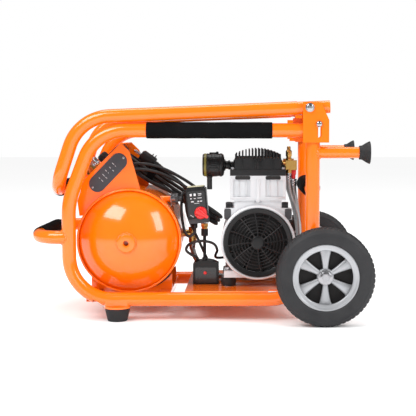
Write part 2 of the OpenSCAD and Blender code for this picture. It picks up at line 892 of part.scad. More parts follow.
module intake_filter() {
    color([0.08, 0.08, 0.08]) {
        translate([pump_x - 117.5, -cyl_y, filter_z]) rotate([0, 90, 0]) cylinder(h = 46, r = 25);
        translate([pump_x - 72, -cyl_y, filter_z]) rotate([0, 90, 0])
            cylinder(h = 72 - head_half, r = 7);
        translate([pump_x - 103, -cyl_y, filter_z - 43]) cylinder(h = 30, r = 5.5);
    }
}

module pump_mounts() {
    color([0.1, 0.1, 0.1]) for (x = [-mount_dx, mount_dx], y = [-mount_y, mount_y])
        translate([pump_x + x, y, tray_top]) union() {
            cylinder(h = mount_h, r = 16);
            translate([0, 0, -5]) cylinder(h = mount_h + 20, r = 4);
        }
}

module outlet_block() {
    color("goldenrod") both_sides() translate([outlet_x, -cyl_y, filter_z]) union() {
        box_from([-12, -9, -10.5], [12, 9, 10]);
        rotate([0, -90, 0]) cylinder(h = outlet_x - pump_x - head_half, r = 6);
        translate([-5, -5, -17]) cylinder(h = 8, r = 6);
    }
}

module safety_valve() {
    color("goldenrod") {
        translate([outlet_x - 5, -cyl_y, filter_z + 10]) cylinder(h = 22, r = 6.5);
        translate([outlet_x - 5, -cyl_y, filter_z + 31]) cylinder(h = 8, r = 4);
        translate([outlet_x + 5, -cyl_y + 2, filter_z - 30]) cylinder(h = 19.5, r = 6);
    }
}

// ---- wheels, axle, handle --------------------------------------------------------------------

module on_axle() {
    translate([axle_x, 0, axle_z]) children();
}

module axle() {
    color("silver") on_axle() along_y(-hub_out - 13, hub_out + 13, axle_r);
}

module axle_hardware() {
    color("silver") on_axle() both_sides() difference() {
        union() {
            along_y(-hub_out - nut_gap - 3, -hub_out - nut_gap, 15);
            along_y(-hub_out - nut_gap - 11, -hub_out - nut_gap - 2, 13.5, 6);
            along_y(-hub_out + 2 * hub_half + nut_gap, -half_w - plate_t / 2, 12);
        }
        along_y(-300, 0, axle_r);
    }
}

module wheel_rim() {
    color("lightgray") on_axle() difference() {
        union() {
            ring_y(-wheel_y - 18, -wheel_y + 18, rim_r, rim_r - 5);
            ring_y(-wheel_y - 16, -wheel_y - 10, rim_r, rim_in);
            along_y(-hub_out, -hub_out + 2 * hub_half, hub_r);
            ring_y(-wheel_y + 11, -wheel_y + 13.4, rim_r - 4, hub_r - 1);
            for (i = [0:5]) rotate([0, i * 60 + 30, 0])
                box_from([12, -hub_out + 1, -7.5], [rim_r - 3, -wheel_y + 8, 7.5]);
        }
        along_y(-300, 0, axle_r + fit);
    }
}

module wheel_tyre() {
    tread = 10.5;
    crown = 12;
    color([0.1, 0.1, 0.1]) on_axle() translate([0, -wheel_y, 0]) rotate([90, 0, 0])
        rotate_extrude($fn = 128) {
            translate([rim_r, -tyre_w / 2]) square([wheel_r - rim_r - crown, tyre_w]);
            translate([rim_r, -tread]) square([wheel_r - rim_r, 2 * tread]);
            for (s = [-1, 1]) translate([wheel_r - crown, s * (tyre_w / 2 - crown)])
                circle(r = crown);
        }
}

module wheel_rim_left() {
    wheel_rim();
}

module wheel_tyre_left() {
    wheel_tyre();
}

module wheel_rim_right() {
    mirror([0, 1, 0]) wheel_rim();
}

module wheel_tyre_right() {
    mirror([0, 1, 0]) wheel_tyre();
}

function in_plane(p, y) = [p[0], y, p[1]];

module stub(y) {
    straight_tube(in_plane(pivot + 40 * arm_dir, y), in_plane(pivot - stub_past * arm_dir, y),
                  stub_d / 2, tube_wall);
}

module pull_handle() {
    color("darkorange") difference() {
        union() {
            bent_tube([in_plane(arm_start, -half_w), in_plane(arm_corner, -half_w),
                       in_plane(handle_end, -half_w), in_plane(handle_end, half_w),
                       in_plane(arm_corner, half_w), in_plane(arm_start, half_w)],
                      [arm_bend, handle_bend, handle_bend, arm_bend], handle_d / 2, tube_wall);
            stub(-half_w);
            stub(half_w);
        }
        translate([pivot[0], 0, pivot[1]]) along_y(-half_w - 30, half_w + 30, bolt_d / 2 + fit);
    }
}

module pull_handle_grip() {
    color([0.08, 0.08, 0.08]) translate(in_plane(handle_end, 0))
        ring_y(handle_bend + 5 - half_w, half_w - handle_bend - 5, grip_d / 2, handle_d / 2);
}

module pivot_bolts() {
    ear_out = ear_in + ear_t;
    color("silver") both_sides() translate([pivot[0], -half_w, pivot[1]]) union() {
        along_y(-ear_out - 1, ear_out + 1, bolt_d / 2);
        along_y(-ear_out - 6, -ear_out, 8);
        along_y(ear_out, ear_out + 6, 9, 6);
    }
}

module lock_pins() {
    ear_out = ear_in + ear_t;
    color("silver") both_sides() translate([pin_at[0], -half_w, pin_at[1]]) union() {
        along_y(-ear_out - 1, ear_out + 1, pin_d / 2);
        along_y(-ear_out - 6, -ear_out - 0.4, 6.5);
        along_y(ear_out + 0.4, ear_out + 6, 6.5);
    }
}

// ---- hoses and cables ------------------------------------------------------------------------

delivery_route = [[197.5, -66, 289.6], [197.5, -66, 283], [197.5, -66, 276], [200, -65, 252],
                  [206, -61, 215], [210, -54, 175], [209, -44, 135], [201, -30, 100],
                  [180, -16, 78], [150, -6, 69], [110, 0, 68.5], [70, 2, 68.5], [30, 8, 72],
                  [2, 22, 86], [-17, 38, 106], [-25, 50, 126], [-25, 50, 134],
                  [-25, 50, 141.4]];
link_route = [[187.5, -73, 302.6], [187.5, -73, 296], [187.5, -73, 290], [191, -73, 265],
              [202, -70, 230], [210, -58, 195], [212, -35, 172], [212, 0, 164],
              [212, 35, 172], [210, 58, 195], [202, 70, 230], [191, 73, 265],
              [187.5, 73, 290], [187.5, 73, 296], [187.5, 73, 302.6]];
console_route_a = [[-9, -18, 244], [-9, -14, 244], [-9, -10, 244], [-11, 4, 246],
                   [-20, 17, 254], [-36, 23, 266], [-60, 22, 281], [-90, 13, 297],
                   [-120, 3, 306], [-145, -4, 308], [-158, -5, 307], [-168, -5, 306]];
console_route_b = [[5, -18, 244], [5, -14, 244], [5, -10, 244], [4, 4, 247], [-4, 19, 256],
                   [-20, 31, 269], [-46, 33, 286], [-80, 25, 305], [-110, 14, 316],
                   [-138, 7, 320], [-158, 5, 318], [-167, 5, 317]];
control_route = [[-14, -56, 183], [-14, -56, 179], [-14, -56, 175], [-25, -57, 165],
                 [-35, -57, 174], [-41, -56, 200], [-43, -53, 225], [-43, -45, 241],
                 [-43, -36, 254], [-40, -26, 258], [-38, -16, 250], [-36, -10, 232],
                 [-33, -8, 210], [-24, -8, 185], [-8, -5, 150], [4, 0, 122], [9.5, 8, 108],
                 [9.5, 8, 96], [9.5, 1, 86], [9.5, -7, 84], [9.5, -13, 84], [9.5, -19, 84]];
motor_route = [[-9.5, -50, 112.5], [-9.5, -50, 115.5], [-9.5, -50, 118.5], [-22, -53, 125],
               [-33, -57, 136], [-24, -60, 150], [2, -63, 156], [26, -60, 150],
               [34, -54, 136], [31, -42, 126], [29, -28, 119], [31, -14, 114], [38, -4, 112],
               [45, 0, 112.3], [49, 0, 112.3], [53.5, 0, 112.3]];
lead_route = [[-22, -12, 230], [-22, -6, 230], [-22, 0, 230], [-23, 9, 231], [-23, 17, 231],
              [-23, 25, 231]];

module braided_hoses() {
    color("silver") {
        cord_tube(delivery_route, 3, 12);
        cord_tube(link_route, 4, 9);
    }
}

module console_hoses() {
    color([0.05, 0.05, 0.05]) {
        cord_tube(console_route_a, 5, 7);
        cord_tube(console_route_b, 5, 7);
    }
}

module control_cable() {
    color([0.05, 0.05, 0.05]) cord_tube(control_route, 4, 6);
}

module motor_cable() {
    color([0.05, 0.05, 0.05]) cord_tube(motor_route, 4, 6);
}

module mains_lead() {
    color([0.05, 0.05, 0.05]) cord_tube(lead_route, 5, lead_d);
}

// The hank's own frame: X down its slope, Y across, Z off the tank
module on_hank() {
    translate([tank_x, hank_y, tank_z]) rotate([0, hank_tilt, 0])
        translate([hank_shift, 0, tank_r + hank_gap]) children();
}

module mains_hank() {
    straight = hank_len / 2 - hank_w / 2;
    color([0.05, 0.05, 0.05]) on_hank() linear_extrude(height = hank_t) {
        for (x = [-straight, straight]) translate([x, 0]) circle(r = hank_w / 2);
        translate([-straight, -hank_w / 2]) square([2 * straight, hank_w]);
    }
}

module mains_plug() {
    color([0.12, 0.12, 0.12]) on_hank() translate([-80, 0, hank_t + 0.4]) union() {
        box_from([-22, -19, 0], [14, 19, 26]);
        translate([13, 0, 12]) rotate([0, 90, 0]) cylinder(h = 22, r = 7);
    }
}

side_frame_left();
side_frame_right();
rear_crossbar();
front_bumper();
frame_grips();
rubber_feet();
pump_tray();
tank_saddles();
saddle_pads();
tank();
check_valve();
drain_valve();
drain_knob();
console();
nameplate();
regulator();
regulator_knob();
gauge_cases();
tank_needle();
outlet_needle();
coupler_bodies();
coupler_sleeve_left();
coupler_sleeve_right();
switch_base();
switch_cover();
switch_knob();
switch_fittings();
overload_box();
reset_button();
motor_housing();
stator();
motor_shaft();
cooling_fans();
crankcases();
fan_guards();
cylinder_liners();
piston_front();
piston_rear();
cylinder_heads();
intake_filter();
pump_mounts();
outlet_block();
safety_valve();
axle();
axle_hardware();
wheel_rim_left();
wheel_tyre_left();
wheel_rim_right();
wheel_tyre_right();
pull_handle();
pull_handle_grip();
pivot_bolts();
lock_pins();
braided_hoses();
console_hoses();
control_cable();
motor_cable();
mains_lead();
mains_hank();
mains_plug();
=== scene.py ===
import json
import math

import bmesh
import bpy
import numpy as np
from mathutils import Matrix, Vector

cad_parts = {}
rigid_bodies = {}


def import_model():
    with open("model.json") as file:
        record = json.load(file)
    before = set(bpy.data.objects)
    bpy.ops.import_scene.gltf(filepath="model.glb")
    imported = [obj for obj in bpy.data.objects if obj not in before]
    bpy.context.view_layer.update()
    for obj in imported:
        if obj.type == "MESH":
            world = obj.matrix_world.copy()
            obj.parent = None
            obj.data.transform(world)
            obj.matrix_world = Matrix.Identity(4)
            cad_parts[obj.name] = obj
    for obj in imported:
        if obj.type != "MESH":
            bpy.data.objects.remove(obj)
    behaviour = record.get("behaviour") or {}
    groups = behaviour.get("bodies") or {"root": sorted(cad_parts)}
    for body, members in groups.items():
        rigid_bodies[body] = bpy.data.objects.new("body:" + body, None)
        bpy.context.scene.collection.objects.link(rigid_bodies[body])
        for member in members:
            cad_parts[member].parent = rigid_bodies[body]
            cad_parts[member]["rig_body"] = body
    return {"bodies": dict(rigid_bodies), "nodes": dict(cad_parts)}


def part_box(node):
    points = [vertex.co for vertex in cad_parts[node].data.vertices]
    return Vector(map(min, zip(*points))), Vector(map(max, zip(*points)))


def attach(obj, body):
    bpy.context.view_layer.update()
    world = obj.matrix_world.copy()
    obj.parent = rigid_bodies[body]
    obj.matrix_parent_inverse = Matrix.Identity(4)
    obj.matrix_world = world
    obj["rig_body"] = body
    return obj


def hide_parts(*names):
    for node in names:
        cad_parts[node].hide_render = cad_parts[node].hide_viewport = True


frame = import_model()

MM = 0.001
X, Y, Z = np.eye(3)
SIDE_Y = 150.0     # centre plane of each side frame
EAR_OUT = 168.0    # outer face of the hinge plates
EAR_IN = 132.0     # inner face of the hinge plates
PEG_Z = 347.5      # height of the upright pegs
FRONT_X = -268.5   # centre line of the front tube
for spare in set(bpy.data.objects) - set(frame["nodes"].values()) - set(frame["bodies"].values()):
    bpy.data.objects.remove(spare)
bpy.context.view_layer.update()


# ---- surfaces ---------------------------------------------------------------------------------

def box_mm(node):
    """Lowest and highest corner of a CAD node, in millimetres."""
    low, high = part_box(node)
    return np.array(low) / MM, np.array(high) / MM


def sheet(points, close_rows=False, close_cols=True):
    """Quads between neighbours of a grid of points, wrapping round where a direction closes."""
    points = np.asarray(points, float)
    rows, cols = points.shape[:2]
    i = np.arange(rows if close_rows else rows - 1)[:, None]
    j = np.arange(cols if close_cols else cols - 1)[None, :]
    i2, j2 = (i + 1) % rows, (j + 1) % cols
    faces = np.stack([i * cols + j, i * cols + j2, i2 * cols + j2, i2 * cols + j], axis=-1)
    return points.reshape(-1, 3), faces.reshape(-1, 4)


def rounded(path, radius, steps=4):
    """A path whose inner corners become short curves: each is a parabola pulled towards the
    corner between two points one radius away from it, or 45% of the side if that is shorter."""
    p = np.asarray(path, float)
    before, corner, after = p[:-2], p[1:-1], p[2:]

    def towards(end):
        gap = np.linalg.norm(end - corner, axis=1, keepdims=True)
        return corner + (end - corner) / gap * np.minimum(radius, gap * 0.45)

    a, b = towards(before), towards(after)
    t = np.linspace(0, 1, steps)[None, :, None]
    curve = (1 - t) ** 2 * a[:, None] + 2 * t * (1 - t) * corner[:, None] + t ** 2 * b[:, None]
    return np.vstack([p[:1], curve.reshape(-1, p.shape[1]), p[-1:]])


def loop_rounded(path, radius, steps=4):
    """The same for a closed outline."""
    p = np.asarray(path, float)
    return rounded(np.vstack([p[-1:], p, p[:1]]), radius, steps)[1:-1]


def turned(profile, origin, axis, sides=48, closed=False, shape=None, start=0.0):
    """Profile rows of (radius, distance) turned about an axis:
    origin + distance * axis + radius * (cos t * across + sin t * up).
    shape(t, radius, distance) may change the radius, as for ribs or a tread."""
    profile = np.asarray(profile, float)
    axis = np.asarray(axis, float) / np.linalg.norm(axis)
    across = np.cross(axis, Z if abs(axis[2]) < 0.9 else X)
    across /= np.linalg.norm(across)
    up = np.cross(axis, across)
    t = np.linspace(0, 2 * np.pi, sides, endpoint=False)[None, :] + start
    r = np.repeat(profile[:, :1], sides, axis=1)
    d = profile[:, 1:] + 0 * t
    if shape is not None:
        r = shape(t, r, d)
    points = (np.asarray(origin, float) + d[..., None] * axis
              + (r * np.cos(t))[..., None] * across + (r * np.sin(t))[..., None] * up)
    return sheet(points, close_rows=closed)


def solid_turned(outline, origin, axis, radius=0.8, **more):
    """A turned solid whose outline starts and ends on the axis, with eased edges."""
    return turned(rounded(outline, radius), origin, axis, **more)


def smooth_route(points, steps):
    """Catmull-Rom curve through the points: each span blends its four nearest points."""
    p = np.asarray(points, float)
    q = np.vstack([p[:1], p, p[-1:]])
    a, b, c, d = q[:-3, None], q[1:-2, None], q[2:-1, None], q[3:, None]
    t = (np.arange(steps) / steps)[None, :, None]
    span = 0.5 * (2 * b + (c - a) * t + (2 * a - 5 * b + 4 * c - d) * t ** 2
                  + (3 * b - a - 3 * c + d) * t ** 3)
    return np.vstack([span.reshape(-1, 3), p[-1:]])


def even(path, gap):
    """The same path with its points a set distance apart."""
    along = np.concatenate([[0], np.cumsum(np.linalg.norm(np.diff(path, axis=0), axis=1))])
    at = np.linspace(0, along[-1], max(3, int(round(along[-1] / gap)) + 1))
    return np.stack([np.interp(at, along, path[:, k]) for k in range(3)], axis=1)


def frames(path):
    """Two directions across a path, each turned as little as possible from the last."""
    ahead = np.gradient(path, axis=0)
    ahead /= np.linalg.norm(ahead, axis=1, keepdims=True)
    side = np.empty_like(path)
    last = np.cross(ahead[0], Z if abs(ahead[0, 2]) < 0.9 else Y)
    for i, direction in enumerate(ahead):
        last = last - direction * (last @ direction)
        last /= np.linalg.norm(last)
        side[i] = last
    return side, np.cross(ahead, side)


def tube(path, radius, sides=20, relief=None):
    """A round section carried along a path and closed at both ends:
    path + radius * (cos t * side + sin t * up). relief(s, t) adds to the radius."""
    path = np.asarray(path, float)
    side, up = frames(path)
    t = np.linspace(0, 2 * np.pi, sides, endpoint=False)[None, :]
    along = np.concatenate([[0], np.cumsum(np.linalg.norm(np.diff(path, axis=0), axis=1))])
    r = np.broadcast_to(np.asarray(radius, float).reshape(-1, 1), (len(path), 1)) + 0 * t
    if relief is not None:
        r = r + relief(along[:, None], t)
    rings = (path[:, None] + (r * np.cos(t))[..., None] * side[:, None]
             + (r * np.sin(t))[..., None] * up[:, None])
    ends = [np.repeat(path[k][None, None], sides, axis=1) for k in (0, -1)]
    return sheet(np.vstack([ends[0], rings, ends[1]]))


def slab(outline, low, high, place, edge=0.6):
    """A flat plate from an outline of (u, v) points: its rim is carried from low to high with
    an eased edge, and its faces are closed to the middle point. place(u, v, w) sets it down."""
    o = np.asarray(outline, float)
    centre = o.mean(axis=0)
    steps = [(0.0, low), (1 - 1e-6, low), (1.0, low + edge), (1.0, high - edge),
             (1 - 1e-6, high), (0.0, high)]
    away = o - centre
    reach = np.linalg.norm(away, axis=1, keepdims=True)
    rows = []
    for share, w in steps:
        inset = edge if share == 1 - 1e-6 else 0.0
        uv = centre + away * share * (1 - inset / reach)
        rows.append(place(uv[:, 0], uv[:, 1], np.full(len(o), float(w))))
    return sheet(np.stack(rows))


def at_axes(origin, u_axis, v_axis, w_axis):
    """A placing function for three axes through an origin."""
    origin, u_axis, v_axis, w_axis = (
        np.asarray(a, float) for a in (origin, u_axis, v_axis, w_axis))

    def place(u, v, w):
        return origin + u[..., None] * u_axis + v[..., None] * v_axis + w[..., None] * w_axis
    return place


def rectangle(width, height, radius, steps=5):
    """A rectangle outline about its middle with rounded corners."""
    w, h = width / 2, height / 2
    return loop_rounded([[-w, -h], [w, -h], [w, h], [-w, h]], radius, steps)


def put(name, parts, body, material, slot=None, crease=38, replaced=()):
    """One piece from several surfaces: seams and poles merged, faces turned outwards."""
    sizes = np.cumsum([0] + [len(p) for p, _ in parts[:-1]])
    points = np.vstack([p for p, _ in parts]) * MM
    faces = np.vstack([f + k for (_, f), k in zip(parts, sizes)])
    mesh = bpy.data.meshes.new(name)
    mesh.from_pydata(points, [], faces)
    work = bmesh.new()
    work.from_mesh(mesh)
    bmesh.ops.remove_doubles(work, verts=work.verts, dist=2e-6)
    bmesh.ops.recalc_face_normals(work, faces=work.faces)
    work.to_mesh(mesh)
    work.free()
    return show(name, mesh, body, material, slot, crease, replaced)


def show(name, mesh, body, material, slot, crease, replaced):
    """Links a mesh as a piece that rides on a body."""
    mesh.shade_smooth()
    mesh.set_sharp_from_angle(angle=math.radians(crease))
    mesh.materials.clear()
    mesh.materials.append(material)
    piece = bpy.data.objects.new(name, mesh)
    bpy.context.scene.collection.objects.link(piece)
    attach(piece, body)
    if replaced:
        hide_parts(*replaced)
    return piece


def softened(node, material, slot, width=0.8, crease=32):
    """A merged copy of a CAD node whose hard edges are rounded a little."""
    source = frame["nodes"][node]
    mesh = source.data.copy()
    normals = mesh.attributes.get("custom_normal")
    if normals is not None:
        mesh.attributes.remove(normals)
    work = bmesh.new()
    work.from_mesh(mesh)
    bmesh.ops.remove_doubles(work, verts=work.verts, dist=2e-6)
    bmesh.ops.dissolve_limit(work, angle_limit=math.radians(0.5), verts=work.verts,
                             edges=work.edges)
    work.to_mesh(mesh)
    work.free()
    piece = show(node + "_finished", mesh, source["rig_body"], material, slot, crease, (node,))
    if width:
        bevel = piece.modifiers.new("edges", "BEVEL")
        bevel.width = width * MM
        bevel.segments = 2
        bevel.limit_method = "ANGLE"
        bevel.angle_limit = math.radians(crease)
        bevel.harden_normals = True
    return piece


# ---- finishes ---------------------------------------------------------------------------------

def node_group(name, inputs, outputs):
    """An empty shader group with named sockets, its input node and its output node."""
    tree = bpy.data.node_groups.new(name, "ShaderNodeTree")
    kinds = {"f": "NodeSocketFloat", "c": "NodeSocketColor", "v": "NodeSocketVector"}
    for label, kind in inputs:
        tree.interface.new_socket(name=label, in_out="INPUT", socket_type=kinds[kind])
    for label, kind in outputs:
        tree.interface.new_socket(name=label, in_out="OUTPUT", socket_type=kinds[kind])
    return tree, tree.nodes.new("NodeGroupInput"), tree.nodes.new("NodeGroupOutput")


def feed(tree, socket, value):
    """Sets a socket to a number or links it to an output."""
    if isinstance(value, (int, float)):
        socket.default_value = value
    else:
        tree.links.new(value, socket)


def noise(tree, vector, scale, detail=4.0, roughness=0.5):
    node = tree.nodes.new("ShaderNodeTexNoise")
    node.inputs["Detail"].default_value = detail
    node.inputs["Roughness"].default_value = roughness
    tree.links.new(vector, node.inputs["Vector"])
    feed(tree, node.inputs["Scale"], scale)
    return node.outputs["Fac"]


def remap(tree, value, low, high, from_low=0.3, from_high=0.7):
    node = tree.nodes.new("ShaderNodeMapRange")
    node.inputs["From Min"].default_value = from_low
    node.inputs["From Max"].default_value = from_high
    tree.links.new(value, node.inputs["Value"])
    feed(tree, node.inputs["To Min"], low)
    feed(tree, node.inputs["To Max"], high)
    return node.outputs["Result"]


def mixed(tree, share, a, b):
    node = tree.nodes.new("ShaderNodeMix")
    node.data_type = "RGBA"
    tree.links.new(share, node.inputs["Factor"])
    tree.links.new(a, node.inputs[6])
    tree.links.new(b, node.inputs[7])
    return node.outputs[2]


def bumped(tree, height, depth):
    node = tree.nodes.new("ShaderNodeBump")
    tree.links.new(height, node.inputs["Height"])
    feed(tree, node.inputs["Distance"], depth)
    return node.outputs["Normal"]


def maths(tree, kind, a, b):
    node = tree.nodes.new("ShaderNodeMath")
    node.operation = kind
    feed(tree, node.inputs[0], a)
    feed(tree, node.inputs[1], b)
    return node.outputs[0]


def surface_group():
    """Two colours in broad patches, roughness that follows them, and a fine grain."""
    tree, into, out = node_group(
        "patches_and_grain",
        [("Colour", "c"), ("Patch Colour", "c"), ("Patch Scale", "f"), ("Low Roughness", "f"),
         ("High Roughness", "f"), ("Grain Scale", "f"), ("Grain Depth", "f")],
        [("Colour", "c"), ("Roughness", "f"), ("Normal", "v")])
    where = tree.nodes.new("ShaderNodeTexCoord").outputs["Object"]
    patch = noise(tree, where, into.outputs["Patch Scale"], 5.0, 0.6)
    grain = noise(tree, where, into.outputs["Grain Scale"], 3.0)
    share = remap(tree, patch, 0.0, 1.0)
    tree.links.new(mixed(tree, share, into.outputs["Colour"], into.outputs["Patch Colour"]),
                   out.inputs["Colour"])
    rough = remap(tree, maths(tree, "ADD", maths(tree, "MULTIPLY", patch, 0.6),
                              maths(tree, "MULTIPLY", grain, 0.4)),
                  into.outputs["Low Roughness"], into.outputs["High Roughness"])
    tree.links.new(rough, out.inputs["Roughness"])
    tree.links.new(bumped(tree, grain, into.outputs["Grain Depth"]), out.inputs["Normal"])
    return tree


def cells_group():
    """Closed cells of foam or the pits of a sand casting."""
    tree, into, out = node_group(
        "cells", [("Scale", "f"), ("Depth", "f")], [("Mask", "f"), ("Normal", "v")])
    where = tree.nodes.new("ShaderNodeTexCoord").outputs["Object"]
    cells = tree.nodes.new("ShaderNodeTexVoronoi")
    tree.links.new(where, cells.inputs["Vector"])
    tree.links.new(into.outputs["Scale"], cells.inputs["Scale"])
    broken = maths(tree, "ADD", cells.outputs["Distance"],
                   noise(tree, where, into.outputs["Scale"], 2.0))
    tree.links.new(remap(tree, broken, 0.0, 1.0, 0.5, 1.3), out.inputs["Mask"])
    tree.links.new(bumped(tree, broken, into.outputs["Depth"]), out.inputs["Normal"])
    return tree


def dust_group():
    """Dust that settles where a surface faces up, thin and uneven."""
    tree, into, out = node_group(
        "settled_dust", [("Colour", "c"), ("Dust Colour", "c"), ("Amount", "f")],
        [("Colour", "c"), ("Mask", "f")])
    where = tree.nodes.new("ShaderNodeTexCoord").outputs["Object"]
    split = tree.nodes.new("ShaderNodeSeparateXYZ")
    tree.links.new(tree.nodes.new("ShaderNodeNewGeometry").outputs["Normal"], split.inputs[0])
    facing = remap(tree, split.outputs["Z"], 0.0, 1.0, 0.1, 1.0)
    uneven = remap(tree, noise(tree, where, 45.0, 6.0, 0.65), 0.2, 1.0)
    mask = maths(tree, "MULTIPLY", maths(tree, "MULTIPLY", facing, uneven),
                 into.outputs["Amount"])
    tree.links.new(mask, out.inputs["Mask"])
    tree.links.new(mixed(tree, mask, into.outputs["Colour"], into.outputs["Dust Colour"]),
                   out.inputs["Colour"])
    return tree


def lines_group():
    """Fine lines drawn out along one direction, as brushing, polishing or turning leaves."""
    tree, into, out = node_group(
        "drawn_lines", [("Stretch", "v"), ("Depth", "f")], [("Mask", "f"), ("Normal", "v")])
    where = tree.nodes.new("ShaderNodeTexCoord").outputs["Object"]
    scaled = tree.nodes.new("ShaderNodeVectorMath")
    scaled.operation = "MULTIPLY"
    tree.links.new(where, scaled.inputs[0])
    tree.links.new(into.outputs["Stretch"], scaled.inputs[1])
    lines = noise(tree, scaled.outputs[0], 1.0, 5.0, 0.65)
    tree.links.new(lines, out.inputs["Mask"])
    tree.links.new(bumped(tree, lines, into.outputs["Depth"]), out.inputs["Normal"])
    return tree


SURFACE, CELLS, DUST, LINES = surface_group(), cells_group(), dust_group(), lines_group()
DUST_COLOUR = (0.42, 0.38, 0.34, 1.0)


def placed(tree, group, **values):
    """The group in a material, with its inputs set. An underscore stands for a space."""
    node = tree.nodes.new("ShaderNodeGroup")
    node.node_tree = group
    for label, value in values.items():
        node.inputs[label.replace("_", " ")].default_value = value
    return node


def finish(name, colour, patch, rough, grain, metallic=0.0, patch_scale=9.0, coat=0.0, dust=0.0,
           cells=None, lines=None, specular=0.5):
    """A painted, cast, moulded or drawn surface. colour and patch are linear colours, rough a
    pair, grain a scale and a depth in metres, cells the same, lines a stretch and a depth."""
    material = bpy.data.materials.new(name)
    material.use_nodes = True
    tree = material.node_tree
    shader = tree.nodes["Principled BSDF"]
    shader.inputs["Metallic"].default_value = metallic
    shader.inputs["Specular IOR Level"].default_value = specular
    if coat:
        shader.inputs["Coat Weight"].default_value = coat
        shader.inputs["Coat Roughness"].default_value = 0.06
    base = placed(tree, SURFACE, Colour=(*colour, 1.0), Patch_Colour=(*patch, 1.0),
                  Patch_Scale=patch_scale, Low_Roughness=rough[0], High_Roughness=rough[1],
                  Grain_Scale=grain[0], Grain_Depth=grain[1])
    tint, normal = base.outputs["Colour"], base.outputs["Normal"]
    if cells:
        normal = placed(tree, CELLS, Scale=cells[0], Depth=cells[1]).outputs["Normal"]
    if lines:
        normal = placed(tree, LINES, Stretch=lines[0], Depth=lines[1]).outputs["Normal"]
    if dust:
        film = placed(tree, DUST, Dust_Colour=DUST_COLOUR, Amount=dust)
        tree.links.new(tint, film.inputs["Colour"])
        tint = film.outputs["Colour"]
    tree.links.new(tint, shader.inputs["Base Color"])
    tree.links.new(base.outputs["Roughness"], shader.inputs["Roughness"])
    tree.links.new(normal, shader.inputs["Normal"])
    return material


orange = finish("orange_powder_coat", (0.94, 0.155, 0.001), (0.98, 0.175, 0.002), (0.14, 0.22),
                (520.0, 0.000012), patch_scale=6.0, coat=0.7, specular=0.4)
foam = finish("grip_foam", (0.004, 0.004, 0.0045), (0.008, 0.008, 0.0085), (0.8, 0.95),
              (900.0, 0.0001), cells=(620.0, 0.0004), specular=0.06)
rubber = finish("moulded_rubber", (0.014, 0.014, 0.015), (0.022, 0.022, 0.023), (0.5, 0.68),
                (700.0, 0.00005), dust=0.02, specular=0.3)
tyre_rubber = finish("tyre_rubber", (0.018, 0.018, 0.02), (0.03, 0.03, 0.032), (0.48, 0.66),
                     (420.0, 0.0001), patch_scale=22.0, dust=0.03, specular=0.3)
brass = finish("machined_brass", (0.72, 0.44, 0.13), (0.55, 0.31, 0.09), (0.18, 0.34),
               (900.0, 0.00001), metallic=1.0, lines=((60.0, 60.0, 2600.0), 0.00002))
plate_grey = finish("brushed_plate", (0.06, 0.06, 0.068), (0.09, 0.09, 0.1), (0.3, 0.42),
                    (600.0, 0.00001), metallic=0.7, lines=((40.0, 40.0, 3000.0), 0.00002))
cast_dark = finish("dark_casting", (0.035, 0.035, 0.038), (0.055, 0.055, 0.06), (0.4, 0.6),
                   (500.0, 0.0001), cells=(900.0, 0.0002), dust=0.03)
plastic = finish("black_plastic", (0.006, 0.006, 0.0065), (0.01, 0.01, 0.011), (0.26, 0.4),
                 (1500.0, 0.00003), dust=0.01, specular=0.35)
gauge_black = finish("gauge_black", (0.014, 0.014, 0.015), (0.02, 0.02, 0.021), (0.16, 0.26),
                     (1100.0, 0.00001), coat=0.2, dust=0.01)
red_plastic = finish("red_plastic", (0.72, 0.02, 0.02), (0.62, 0.014, 0.016), (0.22, 0.34),
                     (1200.0, 0.00002), coat=0.2, dust=0.04)
steel = finish("bright_steel", (0.5, 0.5, 0.52), (0.38, 0.38, 0.4), (0.2, 0.34),
               (800.0, 0.00001), metallic=1.0, lines=((1800.0, 1800.0, 90.0), 0.00001))
cast_alu = finish("die_cast_aluminium", (0.66, 0.67, 0.69), (0.58, 0.59, 0.61), (0.34, 0.48),
                  (700.0, 0.00005), metallic=0.25, cells=(1400.0, 0.00006), dust=0.02)
head_black = finish("head_black", (0.009, 0.009, 0.01), (0.015, 0.015, 0.016), (0.32, 0.5),
                    (600.0, 0.00006), cells=(1100.0, 0.0001), dust=0.02, specular=0.35)
copper = finish("enamelled_copper", (0.45, 0.17, 0.05), (0.3, 0.1, 0.03), (0.25, 0.4),
                (400.0, 0.0002), metallic=0.8)
rim_silver = finish("rim_silver", (0.47, 0.48, 0.5), (0.38, 0.39, 0.41), (0.28, 0.42),
                    (520.0, 0.00003), metallic=0.6, dust=0.12)
braid_steel = finish("braided_steel", (0.5, 0.5, 0.5), (0.36, 0.36, 0.36), (0.28, 0.45),
                     (1500.0, 0.00004), metallic=0.9)
hose_black = finish("rubber_hose", (0.012, 0.012, 0.013), (0.02, 0.02, 0.021), (0.35, 0.5),
                    (900.0, 0.00004), dust=0.01)
cable_black = finish("cable_sheath", (0.011, 0.011, 0.012), (0.018, 0.018, 0.019), (0.36, 0.52),
                     (1200.0, 0.00004), dust=0.01)
print_white = finish("printed_white", (0.72, 0.73, 0.75), (0.6, 0.61, 0.63), (0.4, 0.6),
                     (1800.0, 0.00001))
cream = finish("cream_strip", (0.78, 0.74, 0.5), (0.7, 0.65, 0.42), (0.35, 0.5),
               (1200.0, 0.00001), dust=0.05)
yellow_print = finish("yellow_stripe", (0.2, 0.16, 0.02), (0.12, 0.1, 0.02), (0.4, 0.55),
                      (1200.0, 0.00001))
dial_white = finish("dial_white", (0.8, 0.8, 0.78), (0.75, 0.75, 0.73), (0.4, 0.55),
                    (900.0, 0.00001))
# Painted shade: a near-black that stands for unlit insides. It is given to the wheel webs, the
# crankcase windows and the fans.
painted_shade_inside = finish("unlit_inside", (0.008, 0.007, 0.007), (0.014, 0.012, 0.012), (0.6, 0.8),
                  (600.0, 0.0001))


